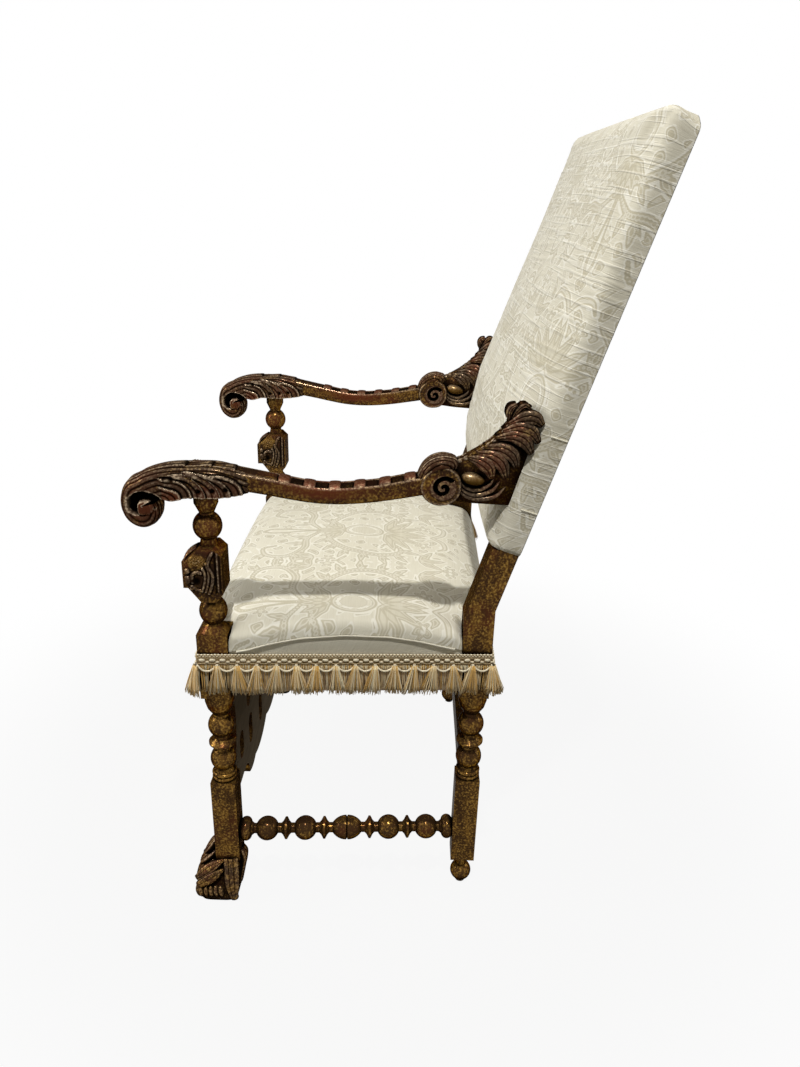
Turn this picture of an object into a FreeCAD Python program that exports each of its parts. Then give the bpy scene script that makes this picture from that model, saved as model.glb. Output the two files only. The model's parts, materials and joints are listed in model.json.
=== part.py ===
import FreeCAD, Part
import os
import re

import Sketcher

V = FreeCAD.Vector

# Driving dimensions in millimetres and degrees. Heights are above the floor.
# The seat faces -Y, the sitter's left is +X, and the origin is the floor under the middle of the chair.
SIZES = (
    # Plan of the four posts
    ("front_half", 285.0),
    ("rear_half", 260.5),
    ("post_spacing", 378.5),
    ("front_post_y", -242.8),
    # Square stock and turned radii of the legs
    ("leg_block", 38.0),
    ("seat_block", 44.0),
    ("neck_radius", 12.0),
    ("ring_radius", 19.0),
    ("ring_height", 7.5),
    ("ring_groove", 4.0),
    ("ball_radius", 20.0),
    ("ball_height", 34.0),
    ("disc_radius", 20.5),
    ("disc_height", 18.0),
    ("disc_rim", 3.0),
    ("neck_gap", 4.5),
    ("cup_radius", 22.0),
    ("cup_height", 23.0),
    ("cup_flare", 3.0),
    ("spigot_radius", 8.0),
    ("spigot_length", 24.0),
    # Heights of the legs and the seat frame
    ("front_foot_height", 63.0),
    ("rear_foot_height", 56.0),
    ("leg_block_top", 216.0),
    ("seat_block_bottom", 372.0),
    ("seat_block_top", 478.0),
    ("rail_bottom", 385.0),
    ("rail_top", 446.0),
    # Arm support above the seat
    ("pommel_height", 12.0),
    ("support_ball_height", 36.0),
    ("carved_block_front", 31.0),
    ("carved_block_rear", 21.0),
    ("carved_boss_depth", 6.0),
    ("support_neck", 9.0),
    ("support_neck_radius", 10.5),
    ("arm_underside", 684.5),
    ("arm_cup_radius", 16.5),
    ("arm_cup_height", 26.5),
    # Carved front feet
    ("foot_outer", 44.0),
    ("foot_inner", 26.0),
    ("foot_front", 51.0),
    ("foot_rear", 24.0),
    ("foot_toe_height", 34.0),
    ("foot_toe_spread", 0.9),
    # Turned rear feet
    ("rear_pad_height", 4.0),
    ("rear_ball_radius", 17.0),
    ("rear_ball_height", 30.0),
    ("rear_pad_radius", 8.0),
    # Seat rails, their joints and the glue blocks
    ("rail_thickness", 28.0),
    ("tenon_length", 18.0),
    ("tenon_thickness", 12.0),
    ("tenon_shoulder", 9.0),
    ("peg_radius", 3.5),
    ("peg_length", 27.0),
    ("glue_block_leg", 78.0),
    ("glue_block_height", 40.0),
    ("screw_radius", 2.5),
    ("screw_length", 34.0),
    ("screw_head_radius", 4.5),
    ("screw_head_height", 3.0),
    # Side stretchers
    ("stretcher_height", 111.0),
    ("stretcher_ball_radius", 19.0),
    ("stretcher_reel_radius", 17.5),
    ("stretcher_neck", 8.0),
    ("stretcher_ball_length", 34.0),
    ("stretcher_reel_length", 16.0),
    ("stretcher_reel_rim", 3.0),
    ("turned_step", 3.0),
    ("stretcher_centre_length", 46.0),
    ("stretcher_groove", 2.5),
    ("stretcher_gap", 5.5),
    ("stretcher_cup_length", 18.0),
    ("stretcher_cup_taper", 4.0),
    ("stretcher_tenon_radius", 7.5),
    # Front stretcher panel and rear stretcher
    ("panel_thickness", 22.0),
    ("panel_setback", 1.0),
    ("panel_bottom", 124.0),
    ("panel_lobe_drop", 7.0),
    ("panel_shoulder", 161.0),
    ("panel_top_end", 340.0),
    ("panel_top_middle", 366.0),
    ("panel_end_inset", 15.0),
    ("piercing_radius", 14.0),
    ("rear_stretcher_bottom", 170.0),
    ("rear_stretcher_height", 40.0),
    ("rear_stretcher_thickness", 20.0),
    # Raked back, measured along the rake from the knee of the rear posts
    ("rake", 16.6),
    ("knee_height", 510.0),
    ("rear_post_depth", 38.0),
    ("rear_post_width", 40.0),
    ("upright_ease", 11.0),
    ("back_bottom", 103.0),
    ("back_top", 672.0),
    ("back_edge_pad", 7.0),
    ("back_crown", 46.0),
    ("back_rail_height", 48.0),
    ("back_rail_thickness", 26.0),
    ("back_rail_margin", 12.0),
    # Arms
    ("arm_rear_half", 268.0),
    ("arm_width", 32.0),
    ("arm_depth", 24.0),
    ("arm_sag", 15.5),
    ("arm_leaf_width", 46.0),
    ("arm_leaf_rear", 56.0),
    ("arm_leaf_height", 39.5),
    ("arm_leaf_fall", 5.0),
    ("arm_middle_rise", 6.5),
    ("arm_end_swell", 2.0),
    ("scroll_radius", 32.0),
    ("scroll_y", -77.0),
    ("scroll_drop", 8.5),
    ("scroll_crest", 17.0),
    ("volute_y", 317.0),
    ("volute_radius", 27.0),
    ("volute_rise", 17.5),
    ("volute_proud", 4.0),
    ("hump_radius", 20.5),
    ("hump_shift", 8.0),
    ("bracket_rise", 132.5),
    ("bracket_drop", 5.5),
    ("bracket_foot", 10.0),
    ("bracket_reach", 104.0),
    ("bracket_tip_width", 17.0),
    ("bracket_tip_depth", 14.0),
    ("bracket_shoulder", 30.0),
    ("bracket_hollow_reach", 58.0),
    ("bracket_hollow_drop", 62.0),
    ("arm_tenon_height", 40.0),
    ("arm_tenon_width", 14.0),
    # Upholstery
    ("cover_thickness", 2.0),
    ("soft_gap", 0.3),
    ("webbing_thickness", 1.5),
    ("webbing_width", 52.0),
    ("webbing_lap", 20.0),
    ("hessian_thickness", 1.0),
    ("tack_radius", 1.2),
    ("tack_length", 11.0),
    ("tack_head_radius", 3.5),
    ("tack_head_height", 0.8),
    ("cover_bottom", 432.0),
    ("seat_side_low", 459.0),
    ("seat_side_mid", 476.0),
    ("seat_crown_front", 507.0),
    ("seat_crown_mid", 516.0),
    ("seat_crown_rear", 482.0),
    ("seat_roll", 30.0),
    ("gimp_top", 450.0),
    ("gimp_height", 21.0),
    ("gimp_thickness", 3.0),
    ("fringe_length", 41.0),
    ("fringe_thickness", 8.0),
)

doc = FreeCAD.newDocument("ThroneChair")
sheet = doc.addObject("Spreadsheet::Sheet", "Sizes")
for row, (alias, number) in enumerate(SIZES, start=1):
    sheet.set(f"A{row}", alias)
    sheet.set(f"B{row}", str(number))
    sheet.setAlias(f"B{row}", alias)
doc.recompute()

ALIAS = re.compile(r"\b(" + "|".join(alias for alias, _ in SIZES) + r")\b")

# Sizes that several pieces share, written once as formulas of the cells above
REAR_POST_Y = "(front_post_y + post_spacing)"
TAPER = "atan((front_half - rear_half) / post_spacing)"
ARM_TAPER = "atan((front_half - arm_rear_half) / post_spacing)"
POST_RUN = "sqrt((front_half - rear_half)^2 + post_spacing^2)"
RAIL_RECESS = "(cover_thickness + soft_gap)"
HESSIAN_BOTTOM = "(rail_top + 2 * webbing_thickness + tack_head_height)"
PEG_HEIGHT = "((rail_bottom + rail_top) / 2)"
BACK_HALF = "(rear_half + rear_post_width / 2 + cover_thickness + soft_gap)"

nodes = {}


def cells(expression):
    """Write each size named in a formula as its spreadsheet cell."""
    return ALIAS.sub(r"Sizes.\g<0>", str(expression))


def bind(obj, **formulas):
    """Bind properties to formulas; a double underscore in a name stands for a dot."""
    for name, formula in formulas.items():
        obj.setExpression(name.replace("__", "."), cells(formula))


def val(expression):
    """The present number of a formula, for shapes made directly."""
    result = sheet.evalExpression(cells(expression))
    return float(getattr(result, "Value", result))


def place(obj, x=0, y=0, z=0, axis=None, angle=None):
    """Bind a piece's position, and its turn about an axis."""
    if axis is not None:
        obj.Placement = FreeCAD.Placement(V(0, 0, 0), FreeCAD.Rotation(axis, val(angle)))
        bind(obj, Placement__Rotation__Angle=angle)
    bind(obj, Placement__Base__x=x, Placement__Base__y=y, Placement__Base__z=z)
    return obj


def place_on_side(obj, angle=TAPER, z=0):
    """Frame of the left side: origin on the front post's axis, +Y towards the rear post."""
    return place(obj, x="front_half", y="front_post_y", z=z, axis=V(0, 0, 1), angle=angle)


def place_on_back(obj):
    """Frame of the raked back: origin at the knee, +Z up along the rake."""
    return place(obj, y=REAR_POST_Y, z="knee_height", axis=V(-1, 0, 0), angle="rake")


def new_body(name):
    return doc.addObject("PartDesign::Body", name)


def attach(body, feature, role):
    plane = next(item for item in body.Origin.OriginFeatures if item.Role == role)
    feature.AttachmentSupport = [(plane, "")]
    feature.MapMode = "FlatFace"


def add_box(body, name, x, y, z, length, width, height):
    """A square-cornered block of a body, from its lowest corner."""
    box = body.newObject("PartDesign::AdditiveBox", name)
    attach(body, box, "XY_Plane")
    bind(box, Length=length, Width=width, Height=height)
    bind(box, AttachmentOffset__Base__x=x, AttachmentOffset__Base__y=y, AttachmentOffset__Base__z=z)
    return box


def add_cylinder(body, name, z, radius, height):
    """An upright round of a body on its own axis."""
    cylinder = body.newObject("PartDesign::AdditiveCylinder", name)
    attach(body, cylinder, "XY_Plane")
    bind(cylinder, Radius=radius, Height=height, AttachmentOffset__Base__z=z)
    return cylinder


def constrain_point(sketch, index, position, across, along):
    """Hold one end of a sketch line or arc by its distances from the sketch's origin."""
    for kind, formula in (("DistanceX", across), ("DistanceY", along)):
        number = val(formula)
        if abs(number) < 1e-9:
            line = -2 if kind == "DistanceX" else -1
            sketch.addConstraint(Sketcher.Constraint("PointOnObject", index, position, line))
        else:
            place_of = sketch.addConstraint(Sketcher.Constraint(kind, -1, 1, index, position, number))
            bind(sketch, **{f"Constraints[{place_of}]": formula})


def bead_arc(start, end, belly):
    """Arc of a turned bead between two necks of the same radius, or half a bead that ends at its belly."""
    if abs(start.x - end.x) < 1e-6:
        return Part.Arc(start, V(belly, (start.y + end.y) / 2, 0), end)
    thin, wide = sorted((start, end), key=lambda point: point.x)
    rise = wide.x - thin.x
    radius = ((wide.y - thin.y)**2 + rise**2) / (2 * rise)
    centre = V(wide.x - radius, wide.y, 0)
    outward = ((thin + wide) / 2 - centre).normalize()
    return Part.Arc(start, centre + outward * radius, end)


def closed_sketch(body, name, role, outline):
    """A sketch of (across, along, belly) points. A belly makes the stretch to the next point a bead."""
    sketch = body.newObject("Sketcher::SketchObject", name)
    attach(body, sketch, role)
    points = [V(val(across), val(along), 0) for across, along, _ in outline]
    for index, (across, along, belly) in enumerate(outline):
        start = points[index]
        end = points[(index + 1) % len(points)]
        if belly is None:
            sketch.addGeometry(Part.LineSegment(start, end), False)
        else:
            sketch.addGeometry(bead_arc(start, end, val(belly)), False)
    # An arc bulging outwards is stored anticlockwise, so its ends may be swapped
    first = []
    last = []
    for index, (_, _, belly) in enumerate(outline):
        edge = sketch.Geometry[index]
        swapped = belly is not None and edge.StartPoint.distanceToPoint(points[index]) > 1e-6
        first.append(2 if swapped else 1)
        last.append(1 if swapped else 2)
    for index, (across, along, belly) in enumerate(outline):
        following = (index + 1) % len(outline)
        sketch.addConstraint(
            Sketcher.Constraint("Coincident", index, last[index], following, first[following]))
        constrain_point(sketch, index, first[index], across, along)
        if belly is not None:
            across_next, along_next, _ = outline[following]
            half = f"((({along_next}) - ({along})) / 2)"
            rise = f"(({belly}) - ({across}))"
            if abs(points[index].x - points[following].x) > 1e-6:
                half = f"(({along_next}) - ({along}))"
                rise = f"abs(({across_next}) - ({across}))"
            radius = f"({half}^2 + {rise}^2) / (2 * {rise})"
            place_of = sketch.addConstraint(Sketcher.Constraint("Radius", index, val(radius)))
            bind(sketch, **{f"Constraints[{place_of}]": radius})
    return sketch


def add_turning(body, name, role, outline):
    """Turned wood: an outline of radii and heights revolved about the sketch's upright axis."""
    sketch = closed_sketch(body, name + "_profile", role, outline)
    turned = body.newObject("PartDesign::Revolution", name)
    turned.Profile = sketch
    turned.ReferenceAxis = (sketch, ["V_Axis"])
    turned.Angle = 360
    return turned


def compound(name, pieces):
    group = doc.addObject("Part::Compound", name)
    group.Links = pieces
    return group


def cut(name, base, tools):
    """A piece with the shapes of its mates taken out of it."""
    piece = doc.addObject("Part::Cut", name)
    piece.Base = base
    piece.Tool = tools[0] if len(tools) == 1 else compound(name + "_mates", tools)
    return piece


def fuse(name, pieces):
    piece = doc.addObject("Part::MultiFuse", name)
    piece.Shapes = pieces
    return piece


def mirrored(name, source):
    """The right-hand twin of a left-hand piece."""
    twin = doc.addObject("Part::Mirroring", name)
    twin.Source = source
    twin.Normal = V(1, 0, 0)
    return twin


def direct(name, shape):
    """A free-form piece whose shape is made from the sheet's numbers."""
    piece = doc.addObject("Part::Feature", name)
    piece.Shape = shape
    return piece


def keep(*pieces):
    for piece in pieces:
        nodes[piece.Name] = piece


def keep_pair(left):
    """Keep a left-hand piece and its mirrored twin as two nodes."""
    right = mirrored(left.Name.replace("left", "right"), left)
    keep(left, right)
    return right


# Turned legs
def sharp_disc(neck, edge, rim, bottom, top):
    """Turned disc with a narrow rim that slopes in to a step at each neck."""
    middle = f"(({bottom}) + ({top})) / 2"
    return [
        (neck, bottom, None),
        (f"{neck} + turned_step", f"({bottom}) + turned_step", None),
        (edge, f"{middle} - {rim} / 2", None),
        (edge, f"{middle} + {rim} / 2", None),
        (f"{neck} + turned_step", f"({top}) - turned_step", None),
        (neck, top, None),
    ]


def leg_outline():
    """Turned stretch of a leg between its lower block and the block at the seat."""
    z = "leg_block_top"
    outline = [("0", z, None), ("ring_radius - ring_groove", z, "ring_radius")]
    for _ in range(2):
        z = f"({z} + ring_height)"
        outline.append(("ring_radius - ring_groove", z, "ring_radius"))
    outline[-1] = ("ring_radius - ring_groove", z, None)
    for kind, height in (("ball", "ball_height"), ("disc", "disc_height"), ("ball", "ball_height")):
        bottom = f"({z} + neck_gap)"
        z = f"({bottom} + {height})"
        if kind == "ball":
            outline += [("neck_radius", bottom, "ball_radius"), ("neck_radius", z, None)]
        else:
            outline += sharp_disc("neck_radius", "disc_radius", "disc_rim", bottom, z)
    cup_bottom = f"({z} + neck_gap)"
    cup_top = f"({cup_bottom} + cup_height)"
    outline += [
        ("neck_radius", cup_bottom, None),
        ("cup_radius - cup_flare", f"({cup_bottom} + cup_height / 2)", None),
        ("cup_radius", cup_top, None),
        ("cup_radius", "seat_block_bottom", None),
        ("0", "seat_block_bottom", None),
    ]
    return outline


def leg_below_seat(body, foot_height):
    add_box(body, body.Name + "_lower_block", "-leg_block / 2", "-leg_block / 2", foot_height,
            "leg_block", "leg_block", f"leg_block_top - {foot_height}")
    add_turning(body, body.Name + "_leg", "XZ_Plane", leg_outline())


def square_block(body, name, bottom, top):
    add_box(body, name, "-seat_block / 2", "-seat_block / 2", bottom,
            "seat_block", "seat_block", f"{top} - ({bottom})")


# Front posts run from the carved feet through the seat to the arms
SUPPORT_BALL_BOTTOM = "(seat_block_top + pommel_height)"
CARVED_BOTTOM = f"({SUPPORT_BALL_BOTTOM} + support_ball_height + neck_gap)"
ARM_CUP_BOTTOM = "(arm_underside - arm_cup_height)"
UPPER_BALL_TOP = f"({ARM_CUP_BOTTOM} - neck_gap / 2)"
UPPER_BALL_BOTTOM = f"({UPPER_BALL_TOP} - support_ball_height)"
# The carved block takes the height that the turnings above and below it leave
CARVED_TOP = f"({UPPER_BALL_BOTTOM} - support_neck)"
CARVED_HEIGHT = f"({CARVED_TOP} - {CARVED_BOTTOM})"


def arm_support_outline():
    """Turned stretch from the seat block's pommel to the underside of the arm."""
    ball_top = f"({SUPPORT_BALL_BOTTOM} + support_ball_height)"
    return [
        ("0", "seat_block_top", None),
        ("seat_block / 2", "seat_block_top", None),
        ("neck_radius", SUPPORT_BALL_BOTTOM, "ball_radius"),
        ("neck_radius", ball_top, None),
        ("neck_radius", CARVED_BOTTOM, None),
        ("neck_radius", CARVED_TOP, None),
        ("support_neck_radius", UPPER_BALL_BOTTOM, "ball_radius"),
        ("support_neck_radius", UPPER_BALL_TOP, None),
        ("support_neck_radius", ARM_CUP_BOTTOM, None),
        ("arm_cup_radius", "arm_underside - arm_cup_height / 2", None),
        ("arm_cup_radius", "arm_underside", None),
        ("0", "arm_underside", None),
    ]


def add_carved_block(body):
    """Block of the arm support, deeper in front, with sloped shoulders and a boss for the carved leaf."""
    sketch = closed_sketch(body, "carved_block_outline", "YZ_Plane", [
        ("-support_neck_radius", CARVED_BOTTOM, None),
        ("support_neck_radius", CARVED_BOTTOM, None),
        ("carved_block_rear", f"{CARVED_BOTTOM} + {CARVED_HEIGHT} / 6", None),
        ("carved_block_rear", f"{CARVED_TOP} - {CARVED_HEIGHT} / 8", None),
        ("support_neck_radius", CARVED_TOP, None),
        ("-support_neck_radius", CARVED_TOP, None),
        ("-carved_block_front", f"{CARVED_TOP} - {CARVED_HEIGHT} / 4", None),
        ("-carved_block_front", f"{CARVED_BOTTOM} + {CARVED_HEIGHT} / 3", None),
    ])
    block = body.newObject("PartDesign::Pad", "carved_block")
    block.Profile = sketch
    block.Midplane = True
    bind(block, Length="seat_block")
    add_box(body, "carved_boss", "-seat_block / 4", "-carved_block_front - carved_boss_depth",
            f"{CARVED_BOTTOM} + {CARVED_HEIGHT} / 5", "seat_block / 2",
            "carved_block_front + carved_boss_depth", f"{CARVED_HEIGHT} / 2")


def make_front_post_blank():
    body = new_body("front_post_blank")
    leg_below_seat(body, "front_foot_height")
    square_block(body, "front_seat_block", "seat_block_bottom", "seat_block_top")
    add_turning(body, "arm_support", "XZ_Plane", arm_support_outline())
    add_carved_block(body)
    add_cylinder(body, "arm_spigot", "arm_underside", "spigot_radius", "spigot_length")
    return place(body, x="front_half", y="front_post_y")


# Rear posts turn into the raked uprights of the back above the seat
def upright_outline():
    """Side outline of a rear post above the leg turning, as (Y, Z) from its own axis."""
    half = "(rear_post_depth / 2)"
    knee_shift = f"({half} / cos(rake) - seat_block / 2)"
    top = "(back_top - back_rail_margin)"
    return [
        ("-seat_block / 2", "seat_block_bottom", None),
        ("seat_block / 2", "seat_block_bottom", None),
        ("seat_block / 2", f"knee_height - {knee_shift} / tan(rake)", None),
        (f"{top} * sin(rake) + {half} * cos(rake)",
         f"knee_height + {top} * cos(rake) - {half} * sin(rake)", None),
        (f"{top} * sin(rake) - {half} * cos(rake)",
         f"knee_height + {top} * cos(rake) + {half} * sin(rake)", None),
        ("-seat_block / 2", f"knee_height + {knee_shift} / tan(rake)", None),
    ]


def make_rear_post_blank():
    body = new_body("rear_post_blank")
    leg_below_seat(body, "rear_foot_height")
    square_block(body, "rear_seat_block", "seat_block_bottom", "rail_top")
    sketch = closed_sketch(body, "upright_outline", "YZ_Plane", upright_outline())
    upright = body.newObject("PartDesign::Pad", "upright")
    upright.Profile = sketch
    upright.Midplane = True
    bind(upright, Length="rear_post_width")
    place(body, x="rear_half", y=REAR_POST_Y)
    return cut("rear_post_eased", body, [make_upright_waste()])


def make_upright_waste():
    """What is planed off the outer front edge of an upright, where the cloth of the back turns round it."""
    outer = val("rear_half + rear_post_width / 2")
    face = -val("rear_post_depth / 2")
    ease = val("upright_ease")
    low = val("back_bottom")
    spare = val("soft_gap")
    corner = V(outer + spare, face - spare, low)
    reach = ease + 2 * spare
    wedge = Part.makePolygon([corner, corner - V(reach, 0, 0), corner + V(0, reach, 0), corner])
    waste = Part.Face(wedge).extrude(V(0, 0, val("back_top") - low))
    return place_on_back(direct("upright_waste", waste))


# Feet
def make_front_foot():
    """Carved foot spreading forwards and outwards under the front leg, with its spigot."""
    levels = (
        (0.0, 1.0),
        (val("foot_toe_height"), val("foot_toe_spread")),
    )
    half = val("leg_block / 2")
    wires = []
    for z, spread in levels:
        wires.append(rectangle(
            -val("foot_inner") * spread, val("foot_outer") * spread,
            -val("foot_front") * spread, val("foot_rear") * spread, z))
    wires.append(rectangle(-half, half, -half, half, val("front_foot_height")))
    block = Part.makeLoft(wires, True, True)
    spigot = Part.makeCylinder(val("spigot_radius"), val("spigot_length"), V(0, 0, val("front_foot_height")))
    foot = direct("front_foot_left", block.fuse(spigot))
    return place(foot, x="front_half", y="front_post_y")


def rectangle(x0, x1, y0, y1, z):
    return Part.makePolygon([V(x0, y0, z), V(x1, y0, z), V(x1, y1, z), V(x0, y1, z), V(x0, y0, z)])


def make_rear_foot():
    """Turned ball foot with a flat pad below and a spigot above."""
    body = new_body("rear_foot_left")
    add_turning(body, "rear_foot_turning", "XZ_Plane", [
        ("0", "0", None),
        ("rear_pad_radius", "0", None),
        ("rear_pad_radius", "rear_pad_height", "rear_ball_radius"),
        ("rear_pad_radius", "rear_pad_height + rear_ball_height", None),
        ("rear_pad_radius", "rear_foot_height", None),
        ("0", "rear_foot_height", None),
    ])
    add_cylinder(body, "rear_foot_spigot", "rear_foot_height", "spigot_radius", "spigot_length")
    return place(body, x="rear_half", y=REAR_POST_Y)


# Side stretchers
def stretcher_outline():
    """Turned stretcher along the side frame: balls and reels about a longer ball in the middle."""
    start = "(leg_block / 2)"
    end = f"({POST_RUN} - leg_block / 2)"
    radius = "stretcher_ball_radius"
    tenon = "stretcher_tenon_radius"
    neck = "stretcher_neck"
    cup_neck = "(stretcher_neck + turned_step)"
    lengths = {
        "ball": "stretcher_ball_length",
        "reel": "stretcher_reel_length",
        "centre": "stretcher_centre_length",
    }
    beads = ("ball", "reel", "ball", "reel", "centre", "reel", "ball", "reel", "ball")
    half_run = "(2 * stretcher_ball_length + 2 * stretcher_reel_length + stretcher_centre_length / 2"
    half_run += " + 4 * stretcher_gap)"
    outline = [
        ("0", f"{start} - tenon_length", None),
        (tenon, f"{start} - tenon_length", None),
        (tenon, start, None),
        (cup_neck, start, radius),
        (cup_neck, f"{start} + stretcher_cup_length", None),
        (neck, f"{start} + stretcher_cup_length + stretcher_cup_taper", None),
    ]
    y = f"({POST_RUN} / 2 - {half_run})"
    for kind in beads:
        top = f"({y} + {lengths[kind]})"
        middle = f"(({y} + {top}) / 2)"
        if kind == "ball":
            outline += [(neck, y, radius), (neck, top, None)]
        elif kind == "reel":
            outline += sharp_disc(neck, "stretcher_reel_radius", "stretcher_reel_rim", y, top)
        else:
            outline += [
                (neck, y, radius),
                (radius, f"{middle} - stretcher_groove / 2", None),
                (f"{radius} - stretcher_groove", middle, None),
                (radius, f"{middle} + stretcher_groove / 2", radius),
                (neck, top, None),
            ]
        y = f"({top} + stretcher_gap)"
    outline += [
        (neck, f"{end} - stretcher_cup_length - stretcher_cup_taper", None),
        (cup_neck, f"{end} - stretcher_cup_length", radius),
        (cup_neck, end, None),
        (tenon, end, None),
        (tenon, f"{end} + tenon_length", None),
        ("0", f"{end} + tenon_length", None),
    ]
    return outline


def make_side_stretcher():
    body = new_body("side_stretcher_left")
    add_turning(body, "side_stretcher_turning", "XY_Plane", stretcher_outline())
    return place_on_side(body, z="stretcher_height")


# Seat frame and the plain stretcher behind
def add_tenoned_bar(body, along, start, end, middle, bottom, thickness, height):
    """A rail between two posts, with a centred tenon running on at both ends."""
    run = f"({end}) - ({start})"
    cheek = "tenon_thickness"
    tenon_start = f"({start}) - tenon_length"
    tenon_run = f"{run} + 2 * tenon_length"
    tenon_bottom = f"({bottom}) + tenon_shoulder"
    tenon_height = f"({height}) - 2 * tenon_shoulder"
    side = f"({middle}) - ({thickness}) / 2"
    tenon_side = f"({middle}) - {cheek} / 2"
    if along == "X":
        add_box(body, body.Name + "_bar", start, side, bottom, run, thickness, height)
        add_box(body, body.Name + "_tenons", tenon_start, tenon_side, tenon_bottom,
                tenon_run, cheek, tenon_height)
    else:
        add_box(body, body.Name + "_bar", side, start, bottom, thickness, run, height)
        add_box(body, body.Name + "_tenons", tenon_side, tenon_start, tenon_bottom,
                cheek, tenon_run, tenon_height)


RAIL_OFFSET = f"(seat_block / 2 - {RAIL_RECESS} - rail_thickness / 2)"
RAIL_HEIGHT = "(rail_top - rail_bottom)"


def make_seat_rails():
    """Four rails. The front and rear ones stand a strap's thickness higher, under the upper webbing."""
    cross_height = f"{RAIL_HEIGHT} + webbing_thickness"
    front = new_body("front_rail_blank")
    inner = "(front_half - seat_block / 2)"
    add_tenoned_bar(front, "X", f"-{inner}", inner, f"-{RAIL_OFFSET}", "rail_bottom",
                    "rail_thickness", cross_height)
    place(front, y="front_post_y")
    rear = new_body("rear_rail_blank")
    inner = "(rear_half - seat_block / 2)"
    add_tenoned_bar(rear, "X", f"-{inner}", inner, RAIL_OFFSET, "rail_bottom",
                    "rail_thickness", cross_height)
    place(rear, y=REAR_POST_Y)
    left = new_body("left_rail_blank")
    # The slanting rail's shoulders are let into the posts far enough to close against them
    shoulder = f"(seat_block / 2 - rail_thickness * tan({TAPER}))"
    add_tenoned_bar(left, "Y", shoulder, f"{POST_RUN} - {shoulder}", RAIL_OFFSET,
                    "rail_bottom", "rail_thickness", RAIL_HEIGHT)
    place_on_side(left)
    return front, rear, left


def make_rear_stretcher():
    body = new_body("rear_stretcher")
    inner = "(rear_half - leg_block / 2)"
    add_tenoned_bar(body, "X", f"-{inner}", inner, "0", "rear_stretcher_bottom",
                    "rear_stretcher_thickness", "rear_stretcher_height")
    return place(body, y=REAR_POST_Y)


# Front stretcher: a carved and pierced panel between the front legs.
# Where its outline turns, as shares of the half width between the legs.
LOBE_SHARE = 0.42
PENDANT_SHARE = 0.62
FOOT_SHARE = 0.74
CREST_SHARE = 0.24
# Openings as (share of the half width, share of the height at the lower end, slot length in radii)
PANEL_PIERCINGS = (
    (0.20, 0.22, 2.0),
    (0.53, 0.30, 2.0),
    (0.22, 0.62, 2.4),
    (0.55, 0.66, 2.0),
    (0.80, 0.40, 1.6),
)


def arc_through(start, middle, end):
    return Part.Arc(start, middle, end).toShape()


def line_to(start, end):
    return Part.LineSegment(start, end).toShape()


def panel_half_edges():
    """Edges of the panel's right half, from the bottom middle round to the top middle."""
    half = val("front_half - leg_block / 2")
    bottom = val("panel_bottom")
    lobe = val("panel_lobe_drop")
    shoulder = val("panel_shoulder")
    inset = half - val("panel_end_inset")
    top_end = val("panel_top_end")
    middle = V(0, 0, bottom + lobe)
    lobe_end = V(half * LOBE_SHARE, 0, bottom)
    pendant = V(half * PENDANT_SHARE, 0, bottom + lobe / 2)
    foot = V(half * FOOT_SHARE, 0, shoulder)
    block_low = V(half, 0, shoulder)
    block_high = V(half, 0, val("leg_block_top"))
    top_corner = V(inset, 0, top_end)
    top_middle = V(0, 0, val("panel_top_middle"))
    crest_foot = V(half * CREST_SHARE, 0, top_end + lobe)
    lobe_low = V(lobe_end.x / 2, 0, bottom - lobe)
    pendant_low = V((lobe_end.x + pendant.x) / 2, 0, bottom - lobe / 2)
    foot_hollow = V(pendant.x + (foot.x - pendant.x) / 3, 0, shoulder - lobe)
    waist = V(inset - lobe, 0, (block_high.z + top_end) / 2)
    dip = V((top_corner.x + crest_foot.x) / 2, 0, top_end - lobe)
    crest_side = V(crest_foot.x / 2, 0, top_middle.z - lobe / 2)
    return [
        arc_through(middle, lobe_low, lobe_end),
        arc_through(lobe_end, pendant_low, pendant),
        arc_through(pendant, foot_hollow, foot),
        line_to(foot, block_low),
        line_to(block_low, block_high),
        arc_through(block_high, waist, top_corner),
        arc_through(top_corner, dip, crest_foot),
        arc_through(crest_foot, crest_side, top_middle),
    ]


def piercings(thickness):
    """Pairs of upright oval openings through the scrollwork, as rounded slots."""
    half = val("front_half - leg_block / 2")
    radius = val("piercing_radius")
    height = val("panel_top_end - panel_bottom")
    slots = []
    for share, level, slot in PANEL_PIERCINGS:
        low = val("panel_bottom") + height * level
        for side in (-1, 1):
            x = side * half * share
            slots.append(Part.makeCylinder(radius, thickness, V(x, 0, low), V(0, 1, 0)))
            slots.append(Part.makeCylinder(radius, thickness, V(x, 0, low + radius * slot), V(0, 1, 0)))
            slots.append(Part.makeBox(2 * radius, thickness, radius * slot, V(x - radius, 0, low)))
    return slots


def make_front_stretcher():
    right = panel_half_edges()
    left = [edge.mirror(V(0, 0, 0), V(1, 0, 0)) for edge in right]
    wire = Part.Wire(Part.__sortEdges__(right + left))
    thickness = val("panel_thickness")
    panel = Part.Face(wire).extrude(V(0, thickness, 0))
    panel = panel.cut(piercings(thickness))
    half = val("front_half - leg_block / 2 + tenon_length")
    cheek = val("tenon_thickness")
    low = val("panel_shoulder + tenon_shoulder")
    high = val("leg_block_top - tenon_shoulder")
    for side in (-1, 1):
        start = side * half if side < 0 else half - val("2 * tenon_length")
        corner = V(start, (thickness - cheek) / 2, low)
        panel = panel.fuse(Part.makeBox(val("2 * tenon_length"), cheek, high - low, corner))
    piece = direct("front_stretcher", panel.removeSplitter())
    return place(piece, y="front_post_y - panel_thickness / 2 + panel_setback")


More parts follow.
